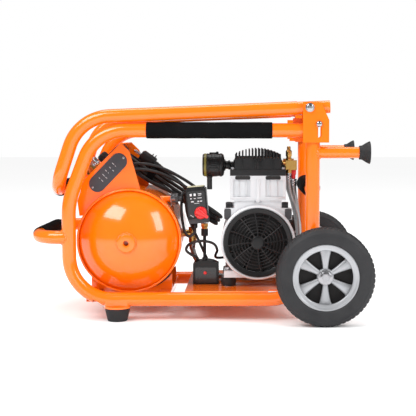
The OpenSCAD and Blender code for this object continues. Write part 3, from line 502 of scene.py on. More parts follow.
def lens_glass():
    """Clear cover of a dial."""
    material = bpy.data.materials.new("dial_glass")
    material.use_nodes = True
    shader = material.node_tree.nodes["Principled BSDF"]
    shader.inputs["Base Color"].default_value = (0.95, 0.97, 0.97, 1.0)
    shader.inputs["Roughness"].default_value = 0.03
    shader.inputs["Transmission Weight"].default_value = 1.0
    shader.inputs["IOR"].default_value = 1.2
    return material


glass = lens_glass()


# ---- camera -----------------------------------------------------------------------------------

def make_camera():
    """Level side view from the near side, pitched down a little."""
    data = bpy.data.cameras.new("view")
    data.sensor_width = 36.0
    data.lens = 83.3
    data.shift_x = -0.0913
    data.clip_end = 100.0
    camera = bpy.data.objects.new("view", data)
    camera.location = (0.09625, -2.123, 0.3856)
    camera.rotation_euler = (math.radians(90 - 4.4), 0.0, 0.0)
    bpy.context.scene.collection.objects.link(camera)
    bpy.context.scene.camera = camera


# ---- cords and hoses --------------------------------------------------------------------------

LEAD_D = 8.5
HANK_TILT = math.radians(35)
HANK_ALONG = np.array([math.cos(HANK_TILT), 0, -math.sin(HANK_TILT)])
HANK_UP = np.array([math.sin(HANK_TILT), 0, math.cos(HANK_TILT)])
HANK_FOOT = np.array([-150, 55, 161.4]) + 8 * HANK_ALONG + 110.4 * HANK_UP
LEAD_EXIT = np.array([-22.0, -12, 230])
RUN_HALF, FOLD_R, LAYER = 101.0, 25.75, 9.1


def in_hank(points):
    """From the hank's own axes (down its slope, across, off the tank) to the part's."""
    points = np.asarray(points, float)
    return (HANK_FOOT + points[:, :1] * HANK_ALONG + points[:, 1:2] * Y + points[:, 2:] * HANK_UP)


def racetrack(s):
    """Distance round a racetrack to a place on it: from the start of the upper fold, over to
    the far run, down it, round the lower fold and back up the near run."""
    run, fold = 2 * RUN_HALF, math.pi * FOLD_R
    s = np.mod(s, 2 * (run + fold))
    a = np.clip(s / FOLD_R, 0, math.pi)
    b = np.clip((s - fold - run) / FOLD_R, 0, math.pi)
    down = np.clip(s - fold, 0, run)
    back = np.clip(s - 2 * fold - run, 0, run)
    x = -RUN_HALF - FOLD_R * np.sin(a) + down + FOLD_R * np.sin(b) - back
    y = -FOLD_R * np.cos(a) + FOLD_R * (1 - np.cos(b)) * -1 * (s > fold + run)
    return np.stack([x, y], axis=1)


def lead_path():
    """The mains lead: out of its gland, a quarter turn, down beside the hank, round it two and
    a half times a layer higher each turn, and over the top into the plug."""
    gland = LEAD_EXIT - HANK_FOOT
    g = np.array([gland @ HANK_ALONG, gland[1], gland @ HANK_UP])
    beside = -FOLD_R - LEAD_D - 0.8
    quarter = beside - g[1]
    t = np.linspace(0, math.pi / 2, 24)
    first = np.stack([g[0] - quarter * (1 - np.cos(t)), g[1] + quarter * np.sin(t),
                      g[2] - 1.5 * t], axis=1)
    foot = 4.6
    keys = np.vstack([first[-1], [g[0] - quarter - 40, beside, 11.0],
                      [-52, beside, foot + 0.6], [-78, -FOLD_R - 3.5, foot],
                      [-RUN_HALF, -FOLD_R, foot]])
    beside_run = smooth_route(keys, 12)
    turn = 4 * RUN_HALF + 2 * math.pi * FOLD_R
    s = np.arange(4.0, 2 * turn + 2 * math.pi * FOLD_R + 2 * RUN_HALF, 4.0)
    coil = np.column_stack([racetrack(s), foot + LAYER * s / turn])
    last = coil[-1]
    over = smooth_route(np.array([last, [RUN_HALF - 30, -22.0, last[2] + 2.2],
                                  [40, -10.0, last[2] + 6], [0, -1.0, 39.4], [-24, 0, 39.4],
                                  [-46, 0, 39.4]]), 12)
    path = np.vstack([first[:-1], beside_run[:-1], coil[:-1], over])
    path = even(path, 3.0)
    for _ in range(6):
        path[1:-1] = 0.5 * path[1:-1] + 0.25 * (path[:-2] + path[2:])
    path[0] = g
    return in_hank(path)


def cord_piece(name, path, diameter, body, material, slot, node, far_end, stiffness, lay, **more):
    """A cord of its path's own length."""
    piece = put(name, [tube(path, diameter / 2, 14)], body, material, slot, replaced=node)
    [list(p) for p in path * MM]
    return piece


def tapered(path, length, thick, thin, ribs=5):
    """A strain relief: a tube along the first stretch of a path that narrows and is ribbed."""
    along = even(path, 1.0)[:int(length)]
    share = np.linspace(0, 1, len(along))
    radius = thick + (thin - thick) * share + 0.35 * np.cos(2 * np.pi * ribs * share)
    return tube(along, radius, 20)


def make_lead():
    """Mains lead wound as a hank on the tank's shoulder, its plug on top, two straps round it."""
    path = lead_path()
    plug_shape = [slab(rectangle(26, 37, 11), 0, 36, at_axes(
        in_hank([[-66, 0, 40.4]])[0], HANK_UP, Y, -HANK_ALONG), 3.0)]
    collar = in_hank([[-68, 0, 39.4], [-24, 0, 39.4]])
    plug_shape.append(tapered(collar, 44, 9.5, LEAD_D / 2 + 0.8, 6))
    plug_shape += [turned(rounded([[0, 0], [19 - k, 0], [19 - k, 1.6], [0, 1.6]], 0.6),
                          in_hank([[-72 - 7 * k, 0, 40.4]])[0], -HANK_ALONG, sides=32)
                   for k in (0, 1)]
    plug = put("mains_plug_moulded", plug_shape, "frame", plastic, "black_plastic",
               replaced=("mains_plug",))
    pins = [solid_turned([[0, 0], [2.4, 0], [2.4, 17], [0, 19]],
                         in_hank([[-102, y, 40.4]])[0], -HANK_ALONG, 0.8, sides=20)
            for y in (-9.5, 9.5)]
    prongs = put("mains_plug_pins", pins, "frame", steel, "bright_steel")
    straps = []
    for x in (-56.0, 62.0):
        t = np.linspace(0, 2 * np.pi, 72, endpoint=False)
        ring_y = 31.5 * np.sign(np.cos(t)) * np.abs(np.cos(t)) ** 0.35
        ring_z = 16.8 + 16.6 * np.sign(np.sin(t)) * np.abs(np.sin(t)) ** 0.35
        rows = [in_hank(np.stack([np.full(72, x + dx), ring_y * (1 + k), ring_z + k * 9], axis=1))
                for dx, k in ((-8, 0.0), (-8, 0.03), (8, 0.03), (8, 0.0))]
        straps.append(sheet(np.stack(rows), close_rows=True))
    band = put("hank_straps", straps, "frame", foam, "foam", crease=60)
    cord_piece("mains_lead_wound", path, LEAD_D, "frame", cable_black, "cable_black",
               ("mains_lead", "mains_hank"), "plug", "medium", "coiled",
               with_pieces=[plug, prongs, band])
    put("mains_gland", [tapered(path, 24, 7.2, LEAD_D / 2 + 0.5, 4)], "frame", plastic,
        "black_plastic")


CONTROL = [[-14, -56, 183], [-14, -56, 179], [-14, -56, 175], [-25, -57, 165], [-35, -57, 174],
           [-41, -56, 200], [-43, -53, 225], [-43, -45, 241], [-43, -36, 254], [-40, -26, 258],
           [-38, -16, 250], [-36, -10, 232], [-33, -8, 210], [-24, -8, 185], [-8, -5, 150],
           [4, 0, 122], [9.5, 8, 108], [9.5, 8, 96], [9.5, 1, 86], [9.5, -7, 84],
           [9.5, -13, 84], [9.5, -19, 84]]
MOTOR = [[-9.5, -50, 112.5], [-9.5, -50, 115.5], [-9.5, -50, 118.5], [-22, -53, 125],
         [-33, -57, 136], [-24, -60, 150], [2, -63, 156], [26, -60, 150], [34, -54, 136],
         [31, -42, 126], [29, -28, 119], [31, -14, 114], [38, -4, 112], [45, 0, 112.3],
         [49, 0, 112.3], [53.5, 0, 112.3]]
CONSOLE_A = [[-9, -18, 244], [-9, -14, 244], [-9, -10, 244], [-11, 4, 246], [-20, 17, 254],
             [-36, 23, 266], [-60, 22, 281], [-90, 13, 297], [-120, 3, 306], [-145, -4, 308],
             [-158, -5, 307], [-168, -5, 306]]
CONSOLE_B = [[5, -18, 244], [5, -14, 244], [5, -10, 244], [4, 4, 247], [-4, 19, 256],
             [-20, 31, 269], [-46, 33, 286], [-80, 25, 305], [-110, 14, 316], [-138, 7, 320],
             [-158, 5, 318], [-167, 5, 317]]
DELIVERY = [[197.5, -66, 289.6], [197.5, -66, 283], [197.5, -66, 276], [200, -65, 252],
            [206, -61, 215], [210, -54, 175], [209, -44, 135], [201, -30, 100], [180, -16, 78],
            [150, -6, 69], [110, 0, 68.5], [70, 2, 68.5], [30, 8, 72], [2, 22, 86],
            [-17, 38, 106], [-25, 50, 126], [-25, 50, 134], [-25, 50, 141.4]]
LINK = [[187.5, -73, 302.6], [187.5, -73, 296], [187.5, -73, 290], [191, -73, 265],
        [202, -70, 230], [210, -58, 195], [212, -35, 172], [212, 0, 164], [212, 35, 172],
        [210, 58, 195], [202, 70, 230], [191, 73, 265], [187.5, 73, 290], [187.5, 73, 296],
        [187.5, 73, 302.6]]


def braid(radius, path):
    """A braided hose: two sets of strands wind opposite ways, and each stands proud where its
    wave is the higher of the two."""
    pitch = 2 * np.pi / 16.0

    def relief(s, t):
        one, two = np.cos(4 * t + pitch * s * 4), np.cos(4 * t - pitch * s * 4)
        return 0.45 * np.maximum(one, two) - 0.3
    return tube(even(path, 1.0), radius, 32, relief)


def ferrule(path, radius, length, first=True):
    """A crimped sleeve over a hose's end, stepped and ringed."""
    along = even(path if first else path[::-1], 1.0)[:int(length)]
    s = np.arange(len(along))
    return tube(along, radius + 0.9 + 0.35 * (np.mod(s, 5) < 2), 24)


def make_hoses():
    """The whole cables and hoses, each from one fitting to another."""
    for name, route, d, node, material, slot, stiffness in (
            ("control_cable_run", CONTROL, 6.0, "control_cable", cable_black, "cable_black",
             "limp"),
            ("motor_cable_run", MOTOR, 6.0, "motor_cable", cable_black, "cable_black", "limp"),
            ("console_hose_low", CONSOLE_A, 7.0, "console_hoses", hose_black, "hose_black",
             "medium"),
            ("console_hose_high", CONSOLE_B, 7.0, "console_hoses", hose_black, "hose_black",
             "medium")):
        cord_piece(name, even(smooth_route(route, 8), 2.5), d, "frame", material, slot, (node,),
                   "object", stiffness, "loose")
    for name, route, d in (("delivery_hose_braid", DELIVERY, 12.0), ("link_hose_braid", LINK, 9.0)):
        path = smooth_route(route, 8)
        piece = put(name, [braid(d / 2, path)], "frame", braid_steel, "braid",
                    crease=80, replaced=("braided_hoses",))
    ends = [ferrule(smooth_route(route, 8), d / 2, 16, first)
            for route, d in ((DELIVERY, 12.0), (LINK, 9.0)) for first in (True, False)]
    put("hose_ferrules", ends, "frame", steel, "bright_steel")


# ---- cage pieces ------------------------------------------------------------------------------

def grip(low, high, axis, inner=14.0):
    """A foam sleeve between two points: its ends roll in, and its skin is a little uneven."""
    low, high = np.asarray(low, float), np.asarray(high, float)
    middle_line = [(low[k] + high[k]) / 2 for k in range(3)]
    span = int(np.argmax(np.abs(axis)))
    half = (high[span] - low[span]) / 2
    radius = (high[(span + 1) % 3] - low[(span + 1) % 3]) / 2
    outline = [[inner, -half], [radius, -half]]
    outline += [[radius, d] for d in np.linspace(-half, half, 40)[1:-1]]
    outline += [[radius, half], [inner, half]]
    outline = loop_rounded(outline, 3.0)

    def skin(t, r, d):
        proud = (r > inner + 1)
        return r - proud * (0.25 + 0.2 * np.sin(3 * t + d / 23) * np.sin(d / 17)
                            + 0.12 * np.sin(7 * t - d / 9))
    return turned(outline, middle_line, axis, sides=48, closed=True, shape=skin)


def make_grips():
    low, high = box_mm("frame_grips")
    rail_r = 17.0
    near, far = low[1], high[1]
    cross = box_mm("rear_crossbar")
    bar_x, bar_z = (cross[0][0] + cross[1][0]) / 2, (cross[0][2] + cross[1][2]) / 2
    bumper = box_mm("front_bumper")
    b_x, b_z = bumper[0][0] + 14, (bumper[0][2] + bumper[1][2]) / 2
    top = high[2] - rail_r
    sleeves = [
        grip([-107, near, top - rail_r], [150, near + 2 * rail_r, top + rail_r], X, 14.6),
        grip([-107, far - 2 * rail_r, top - rail_r], [150, far, top + rail_r], X, 14.6),
        grip([bar_x - 20, -100, bar_z - 20], [bar_x + 20, 100, bar_z + 20], Y, 14.1),
        grip([b_x - 17, -95, b_z - 17], [b_x + 17, 95, b_z + 17], Y, 14.1)]
    piece = put("frame_grip_foam", sleeves, "frame", foam, "foam", crease=70,
                replaced=("frame_grips",))
    low, high = box_mm("pull_handle_grip")
    piece = put("pull_grip_foam", [grip(low, high, Y, 14.1)], "pull_handle_body", foam, "foam",
                crease=70, replaced=("pull_handle_grip",))


def weld_bead(origin, axis, radius, onto, thick=2.0):
    """A weld round a tube that meets another across it: the bead follows
    sqrt(onto^2 - (radius sin t)^2) along the axis, and ripples as it goes."""
    axis = np.asarray(axis, float)
    across = np.cross(axis, Z if abs(axis[2]) < 0.9 else X)
    up = np.cross(axis, across)
    t = np.linspace(0, 2 * np.pi, 220, endpoint=False)[:, None]
    u = np.linspace(0, 2 * np.pi, 10, endpoint=False)[None, :]
    reach = np.sqrt(np.maximum(onto ** 2 - (radius * np.cos(t)) ** 2, 0)) if onto else 0 * t
    size = thick * (1 + 0.16 * np.sin(t * 36))
    r, d = radius + size * 0.8 * np.cos(u), reach + size * np.sin(u)
    return sheet(np.asarray(origin, float) + d[..., None] * axis
                 + (r * np.cos(t))[..., None] * across + (r * np.sin(t))[..., None] * up,
                 close_rows=True)


def make_welds():
    """Beads where the pegs, bumper and crossbar meet the cage."""
    cross_low, cross_high = box_mm("rear_crossbar")
    bar = (cross_low + cross_high) / 2
    bump_low, bump_high = box_mm("front_bumper")
    beads = []
    for s in (-1, 1):
        y = s * SIDE_Y
        beads.append(weld_bead([bar[0], y, PEG_Z], X, 11.5, 14.5))
        beads.append(weld_bead([bar[0], y, bar[2]], [0, -s, 0], 14.0, 14.5))
        beads.append(weld_bead([FRONT_X, y, (bump_low[2] + bump_high[2]) / 2], -X, 14.0, 14.5))
    put("cage_welds", beads, "frame", orange, "orange_coat", crease=70)


def make_feet():
    """Tapered rubber feet and the flared caps on the pegs, which the cage stands up on."""
    cap_start = box_mm("rubber_feet")[1][0] - 22.3
    parts = []
    for y in (-SIDE_Y, SIDE_Y):
        foot = [[0, 0], [19.4, 0], [20.8, 1.6], [22.4, 9], [24.6, 19], [25.6, 25], [25.4, 27],
                [0, 27]]
        parts.append(solid_turned(foot, [-170, y, 0], Z, 1.2))
        cap = [[0, -15], [9.4, -15], [9.4, 0], [13.6, 0], [14.3, 0.8], [14.5, 5.5], [17.2, 10],
               [20.4, 15], [23.2, 21], [23.0, 22.3], [21.4, 22.3], [19.6, 20.6], [0, 20.4]]
        parts.append(turned(rounded(cap, 0.6), [cap_start, y, PEG_Z], X))
    put("feet_and_caps", parts, "frame", rubber, "rubber", replaced=("rubber_feet",))


def hex_head(origin, axis, across, height, washer=0.0):
    """A hexagon head with a chamfered top, on an optional flange."""
    r = across / math.sqrt(3)
    parts = [turned([[0, washer], [r, washer], [r, washer + height * 0.86],
                     [r * 0.86, washer + height], [0, washer + height]], origin, axis, sides=6)]
    if washer:
        parts.append(solid_turned([[0, 0], [r * 1.22, 0], [r * 1.18, washer], [0, washer + 0.4]],
                                  origin, axis, 0.5, sides=40))
    return parts


def threaded(origin, axis, radius, length, pitch=1.5):
    """The end of a bolt: the radius waves once a pitch, and the tip is chamfered."""
    d = np.arange(0, length, pitch / 6)
    r = radius - 0.32 + 0.32 * np.cos(2 * np.pi * d / pitch)
    rows = np.vstack([[[0, 0]], np.column_stack([r, d]), [[radius - 1.2, length + 0.4]],
                      [[0, length + 0.4]]])
    return turned(rows, origin, axis, sides=28)


def make_bolts():
    """Pivot bolts with nuts and washers, and the round-headed lock pins."""
    low, high = box_mm("pivot_bolts")
    x, z = (low[0] + high[0]) / 2, (low[2] + high[2]) / 2
    parts = []
    for s in (-1, 1):
        face = np.array([x, s * EAR_OUT, z])
        outward = np.array([0, s, 0.0])
        parts += hex_head(face, outward, 13.4, 5.2, 1.2)
        parts.append(solid_turned([[0, 0], [3.4, 0], [3.0, 1.2], [0, 1.5]], face + 6.2 * outward,
                                  outward, 0.4, sides=24))
        parts += hex_head([x, s * EAR_IN, z], -outward, 14.4, 4.6, 1.2)
        parts.append(turned([[0, 0], [4.99, 0], [4.99, 38], [0, 38]], [x, s * 131.0, z], outward,
                            sides=32))
    put("pivot_bolt_heads", parts, "frame", steel, "bright_steel", replaced=("pivot_bolts",))
    low, high = box_mm("lock_pins")
    x, z = (low[0] + high[0]) / 2, (low[2] + high[2]) / 2
    parts = []
    for s in (-1, 1):
        outward = np.array([0, s, 0.0])
        head = [[0, 0.3], [6.4, 0.3], [6.4, 1.2], [5.6, 3.6], [3.4, 5.2], [0, 5.8]]
        parts.append(solid_turned(head, [x, s * EAR_OUT, z], outward, 0.6, sides=36))
        parts.append(solid_turned(head, [x, s * EAR_IN, z], -outward, 0.6, sides=36))
        parts.append(turned([[0, 0], [3.99, 0], [3.99, 38], [0, 38]], [x, s * 131.0, z], outward,
                            sides=32))
    put("lock_pin_heads", parts, "lock_pin_body", steel, "bright_steel", replaced=("lock_pins",))


# ---- wheels -----------------------------------------------------------------------------------

def tyre(centre, radius, half):
    """A solid tyre: sidewalls bulge, ring beads stand on them, and the tread is a fine file of
    blocks, a cosine round the wheel that shifts with the distance across it."""
    side = [[66.8, half - 3.5], [69, half - 1.6], [74, half - 0.5], [81, half], [88.5, half - 0.9],
            [90.0, half - 0.4], [91.5, half - 1.8], [95.5, half - 4.4], [98.6, half - 8.2],
            [99.7, half - 12.5], [100.0, 4.5]]
    upper = np.array(side)
    lower = upper[::-1] * [1, -1]
    outline = loop_rounded(np.vstack([upper, [[100, 0]], lower]), 1.2, 5)
    outline[:, 0] *= radius / 100.0

    def tread(t, r, d):
        band = np.clip((r - 0.962 * radius) / (0.03 * radius), 0, 1)
        blocks = np.cos(56 * t + 5.5 * np.abs(d) / half) > -0.1
        ribs = (np.abs(np.abs(d) - 6.5) < 0.9) | (np.abs(d) < 0.8)
        return r - band * np.where(blocks & ~ribs, 0.0, 1.7)
    return turned(outline, centre, Y, sides=448, closed=True, shape=tread)


def spoke(centre, angle, outward, inner=13.0, outer=58.0):
    """One flared spoke: a flattened round section that widens towards the rim and is crowned
    along its front."""
    u = np.linspace(0, 1, 22)[:, None]
    t = np.linspace(0, 2 * np.pi, 28, endpoint=False)[None, :]
    width = 5.2 + 8.0 * u ** 1.5 + 2.0 * np.clip(u - 0.85, 0, 1) / 0.15
    depth = 5.0 - 0.8 * u
    squeeze = lambda v: np.sign(v) * np.abs(v) ** 0.75
    along = inner + (outer - inner) * u + 0 * t
    across = width * squeeze(np.cos(t))
    front = -3.2 + 2.5 * u + depth * squeeze(np.sin(t))
    radial = np.array([math.cos(angle), 0, math.sin(angle)])
    tangent = np.array([-math.sin(angle), 0, math.cos(angle)])
    rows = (centre + along[..., None] * radial + across[..., None] * tangent
            + front[..., None] * outward)
    ends = [np.repeat(rows[k].mean(axis=0)[None, None], 28, axis=1) for k in (0, -1)]
    return sheet(np.vstack([ends[0], rows, ends[1]]))


def make_wheel(name, s):
    """A silver rim with six flared spokes, its tyre, and the web behind the spokes: a backing whose
    near-black is painted shade.
    """
    low, high = box_mm("wheel_tyre_" + name)
    centre, radius, half = (low + high) / 2, (high[2] - low[2]) / 2, (high[1] - low[1]) / 2
    body = "wheel_" + name
    outward = np.array([0, s, 0.0])
    put("tyre_" + name, [tyre(centre, radius, half)], body, tyre_rubber, "tyre", crease=50,
        replaced=("wheel_tyre_" + name,))
    flange = [[67, 18], [67, 14], [67, -18], [62.2, -18], [62.2, 5], [57, 9.4], [54.2, 10.6],
              [54.2, 14.6], [56, 16.2], [61, 16.6], [64, 18.2]]
    rim = [turned(loop_rounded(flange, 0.9), centre, outward, sides=96, closed=True)]
    hub = [[8.05, 4], [13.2, 4], [16.6, 2.6], [17, 0], [17, -20.6], [15.6, -22], [8.05, -22]]
    rim.append(turned(loop_rounded(hub, 0.9), centre, outward, sides=64, closed=True))
    rim += [spoke(centre, math.radians(60 * k + 30), outward) for k in range(6)]
    put("rim_" + name, rim, body, rim_silver, "rim_silver", crease=50,
        replaced=("wheel_rim_" + name,))
    # The web's near-black is painted shade of the wheel's unlit inside.
    web = [[16.8, -11], [62.4, -11], [62.4, -13.4], [16.8, -13.4]]
    put("rim_web_" + name, [turned(loop_rounded(web, 0.5), centre, outward, sides=64, closed=True)],
        body, painted_shade_inside, "black_plastic")


def make_axle_nuts():
    """Flanged nuts with the threaded axle ends in them, washers and inner spacers."""
    low, high = box_mm("axle_hardware")
    x, z = (low[0] + high[0]) / 2, (low[2] + high[2]) / 2
    parts = []
    for s in (-1, 1):
        outward = np.array([0, s, 0.0])
        parts += hex_head([x, s * 214.3, z], outward, 22.0, 7.6, 2.8)
        parts.append(turned([[8.0, 0], [11.9, 0], [11.9, -34.7], [8.0, -34.7]],
                            [x, s * 187.7, z], outward, sides=40, closed=True))
        parts.append(threaded([x, s * 220.0, z], outward, 7.9, 7.0))
    put("axle_nuts", parts, "frame", steel, "bright_steel", replaced=("axle_hardware",))


# ---- tank -------------------------------------------------------------------------------------

def make_tank():
    """The receiver: shell, joggled weld lips, dished ends and threaded bosses, turned about its
    axis; then the neck to the switch."""
    x, z = -150.0, 161.4
    shell_r, shell_half, end_r, dish = 110.0, 105.0, 106.5, 50.0
    crown = (end_r ** 2 + dish ** 2) / (2 * dish)
    edge = math.asin(18.5 / crown)
    rim = math.asin(end_r / crown)
    a = np.linspace(rim, edge, 48)
    ends = np.column_stack([crown * np.sin(a), shell_half + dish - crown + crown * np.cos(a)])
    shell = [[shell_r, 0], [shell_r, 40], [shell_r, 80], [shell_r, shell_half + 5.2],
             [shell_r - 0.9, shell_half + 6.2], [end_r + 0.4, shell_half + 6.2],
             [end_r + 0.1, shell_half + 3.0]]
    boss = [[19.2, shell_half + dish - 1.6], [19.0, 160.2], [17.6, 162], [8.6, 162]]
    d = np.arange(161.6, 144, -0.35)
    thread = np.column_stack([5.9 + 0.45 * np.cos(2 * np.pi * d / 1.4), d])
    half = np.vstack([shell, ends, boss, thread, [[5.4, 143]], [[0, 143]]])
    body = [turned(rounded(half, 0.6, 3), [x, 0, z], s * Y, sides=144) for s in (-1, 1)]
    neck = [[0, 0], [7, 0], [7, 19], [6.4, 22], [0, 22]]
    body.append(solid_turned(neck, [x + 62, -55, 246], X, 0.6, sides=36))
    put("tank_shell", body, "frame", orange, "orange_coat", crease=40, replaced=("tank",))
    t = np.linspace(0, 2 * np.pi, 300, endpoint=False)[:, None]
    u = np.linspace(0, 2 * np.pi, 10, endpoint=False)[None, :]
    beads = []
    for s in (-1, 1):
        for radius, off, size, lean in (
                (end_r + 0.6, shell_half + 6.0,
                 1.5 * (1 + 0.12 * np.sin(70 * t) + 0.08 * np.sin(23 * t + 1)), 0.7),
                (19.4, shell_half + dish - 1.2, 2.5 * (1 + 0.1 * np.sin(28 * t)), 0.8)):
            r, d = radius + size * np.cos(u), s * (off + lean * size * np.sin(u))
            beads.append(sheet(np.stack([x + r * np.cos(t), d, z + r * np.sin(t)], axis=-1),
                               close_rows=True))
    put("tank_welds", beads, "frame", orange, "orange_coat", crease=80)
    put("neck_nut", hex_head([x + 85, -55, 246], X, 21, 9.5, 1.2), "frame", steel, "bright_steel")


# ---- console ----------------------------------------------------------------------------------

SLOPE = math.sqrt(0.5)
PANEL_U, PANEL_OUT = np.array([SLOPE, 0, SLOPE]), np.array([-SLOPE, 0, SLOPE])
PANEL_LOW = np.array([-245.0, 0, 289])


def on_panel(u, y, out=0.0):
    """A point on the sloping instrument panel."""
    return PANEL_LOW + u * PANEL_U + y * Y + out * PANEL_OUT


def make_gauge(y, label):
    """A dial gauge: turned case with a rolled bezel, a white dial with raised marks, a lens."""
    centre = on_panel(82, y)
    case = [[0, -11], [18.5, -11], [18.5, 0.1], [20.6, 0.1], [21, 0.8], [21, 3.2], [20, 4],
            [18.4, 3.7], [18, -0.6], [0, -0.6]]
    put("gauge_case_" + label, [turned(rounded(case, 0.2), centre, PANEL_OUT, sides=64)],
        "frame", gauge_black, "gauge_black", replaced=("gauge_cases",))
    face = [solid_turned([[0, -0.7], [17.9, -0.7], [17.9, -0.25], [0, -0.25]], centre, PANEL_OUT,
                         0.1, sides=48)]
    put("gauge_dial_" + label, face, "frame", dial_white, "gauge_black")
    marks = []
    for k in range(28):
        turn = math.radians(225 - k * 10)
        ray = math.cos(turn) * PANEL_U + math.sin(turn) * Y
        side = -math.sin(turn) * PANEL_U + math.cos(turn) * Y
        long = k % 3 == 0
        place = at_axes(centre + (14.6 if long else 15.4) * ray - 0.3 * PANEL_OUT, ray, side,
                        PANEL_OUT)
        marks.append(slab(rectangle(4.2 if long else 2.4, 0.9 if long else 0.5, 0.15, 3), 0, 0.25,
                          place, 0.05))
    put("gauge_marks_" + label, marks, "frame", plastic, "gauge_black", crease=60)
    lens = [[0, 3.0], [10, 2.9], [18.1, 2.6], [18.1, 2.2], [0, 2.4]]
    put("gauge_lens_" + label, [turned(rounded(lens, 0.2), centre, PANEL_OUT, sides=48)],
        "frame", glass)


def make_console():
    """Dials, the fluted regulator knob, knurled coupler sleeves and the name plate."""
    make_gauge(-48, "near")
    make_gauge(48, "far")
    knob = [[0, 3.5], [11.2, 3.5], [12, 4.6], [11.8, 16.5], [11, 19.8], [8.4, 21.6], [0, 22]]

    def flutes(t, r, d):
        grip_band = np.clip((d - 5) / 2, 0, 1) * np.clip((18 - d) / 2, 0, 1) * (r > 8)
        return r - grip_band * 0.7 * (0.5 + 0.5 * np.cos(24 * t))
    put("regulator_knob_fluted",
        [turned(rounded(knob, 0.8), on_panel(52, 0), PANEL_OUT, sides=192, shape=flutes),
         turned([[0, -14], [3, -14], [3, 4], [0, 4]], on_panel(52, 0), PANEL_OUT, sides=20)],
        "regulator_knob_body", plastic, "black_plastic", replaced=("regulator_knob",))
    for name, y in (("left", -58), ("right", 58)):
        sleeve = [[9.05, 15], [11.6, 15], [12.5, 16], [12.5, 19], [11.7, 20], [11.7, 29],
                  [12.5, 30], [12.5, 32], [11.8, 33], [9.05, 33]]

        def knurl(t, r, d):
            band = (r > 11) & (d > 20) & (d < 29)
            return r + band * 0.3 * np.sign(np.cos(30 * t) * np.cos(1.9 * d))
        rows = loop_rounded(sleeve, 0.4)
        put("sleeve_knurled_" + name, [turned(rows, on_panel(20, y), PANEL_OUT, sides=120,
                                              closed=True, shape=knurl)],
            "sleeve_" + name, steel, "bright_steel", replaced=("coupler_sleeve_" + name,))
    a, b = np.array([-171.6, 328.0]), np.array([-217.0, 281.0])
    long = (a - b) / np.linalg.norm(a - b)
    wide = np.array([-long[1], long[0]])
    t = np.linspace(-np.pi / 2, np.pi / 2, 24)[:, None]
    cap = 17.5 * (np.cos(t) * long + np.sin(t) * wide)
    outline = np.vstack([a + cap, b - cap])
    place = at_axes([0, -95.0, 0], X, Z, -Y)
    put("name_plate", [slab(outline, 0.05, 1.3, place, 0.35)], "frame", plate_grey, "plate_grey",
        replaced=("nameplate",))
    rivets = [solid_turned([[0, 1.0], [2.6, 1.0], [2.2, 2.0], [0, 2.4]],
                           [p[0], -95.0, p[1]], -Y, 0.4, sides=24)
              for p in (a + 12.5 * long - 2 * wide, b - 12.5 * long + 2 * wide)]
    put("plate_rivets", rivets, "frame", steel, "bright_steel")
    bars = []
    for share, off, width in ((0.82, 5, 16), (0.82, -2, 9), (0.66, 4, 12), (0.66, -5, 10),
                              (0.5, 6, 14), (0.5, -1, 6), (0.34, 3, 18), (0.34, -5, 13),
                              (0.18, 5, 9), (0.18, -3, 15)):
        at = b + (a - b) * share + off * wide
        bars.append(slab(rectangle(width * 0.35, 1.1, 0.3, 3), 1.25, 1.55,
                         at_axes([at[0], -95.0, at[1]], [wide[0], 0, wide[1]],
                                 [long[0], 0, long[1]], -Y), 0.1))
    put("plate_marks", bars, "frame", print_white, "plate_grey", crease=60)


# ---- switch and overload box ------------------------------------------------------------------

TILT = math.radians(5)
SWITCH_X = np.array([math.cos(TILT), 0, math.sin(TILT)])
SWITCH_Z = np.array([-math.sin(TILT), 0, math.cos(TILT)])
SWITCH_AT = np.array([-5.0, 0, 195])


def switch_place(u, w, y=-80.0):
    """Axes on the face of the tilted switch, at u across and w up it."""
    return at_axes(SWITCH_AT + u * SWITCH_X + w * SWITCH_Z + y * Y, SWITCH_X, SWITCH_Z, -Y)


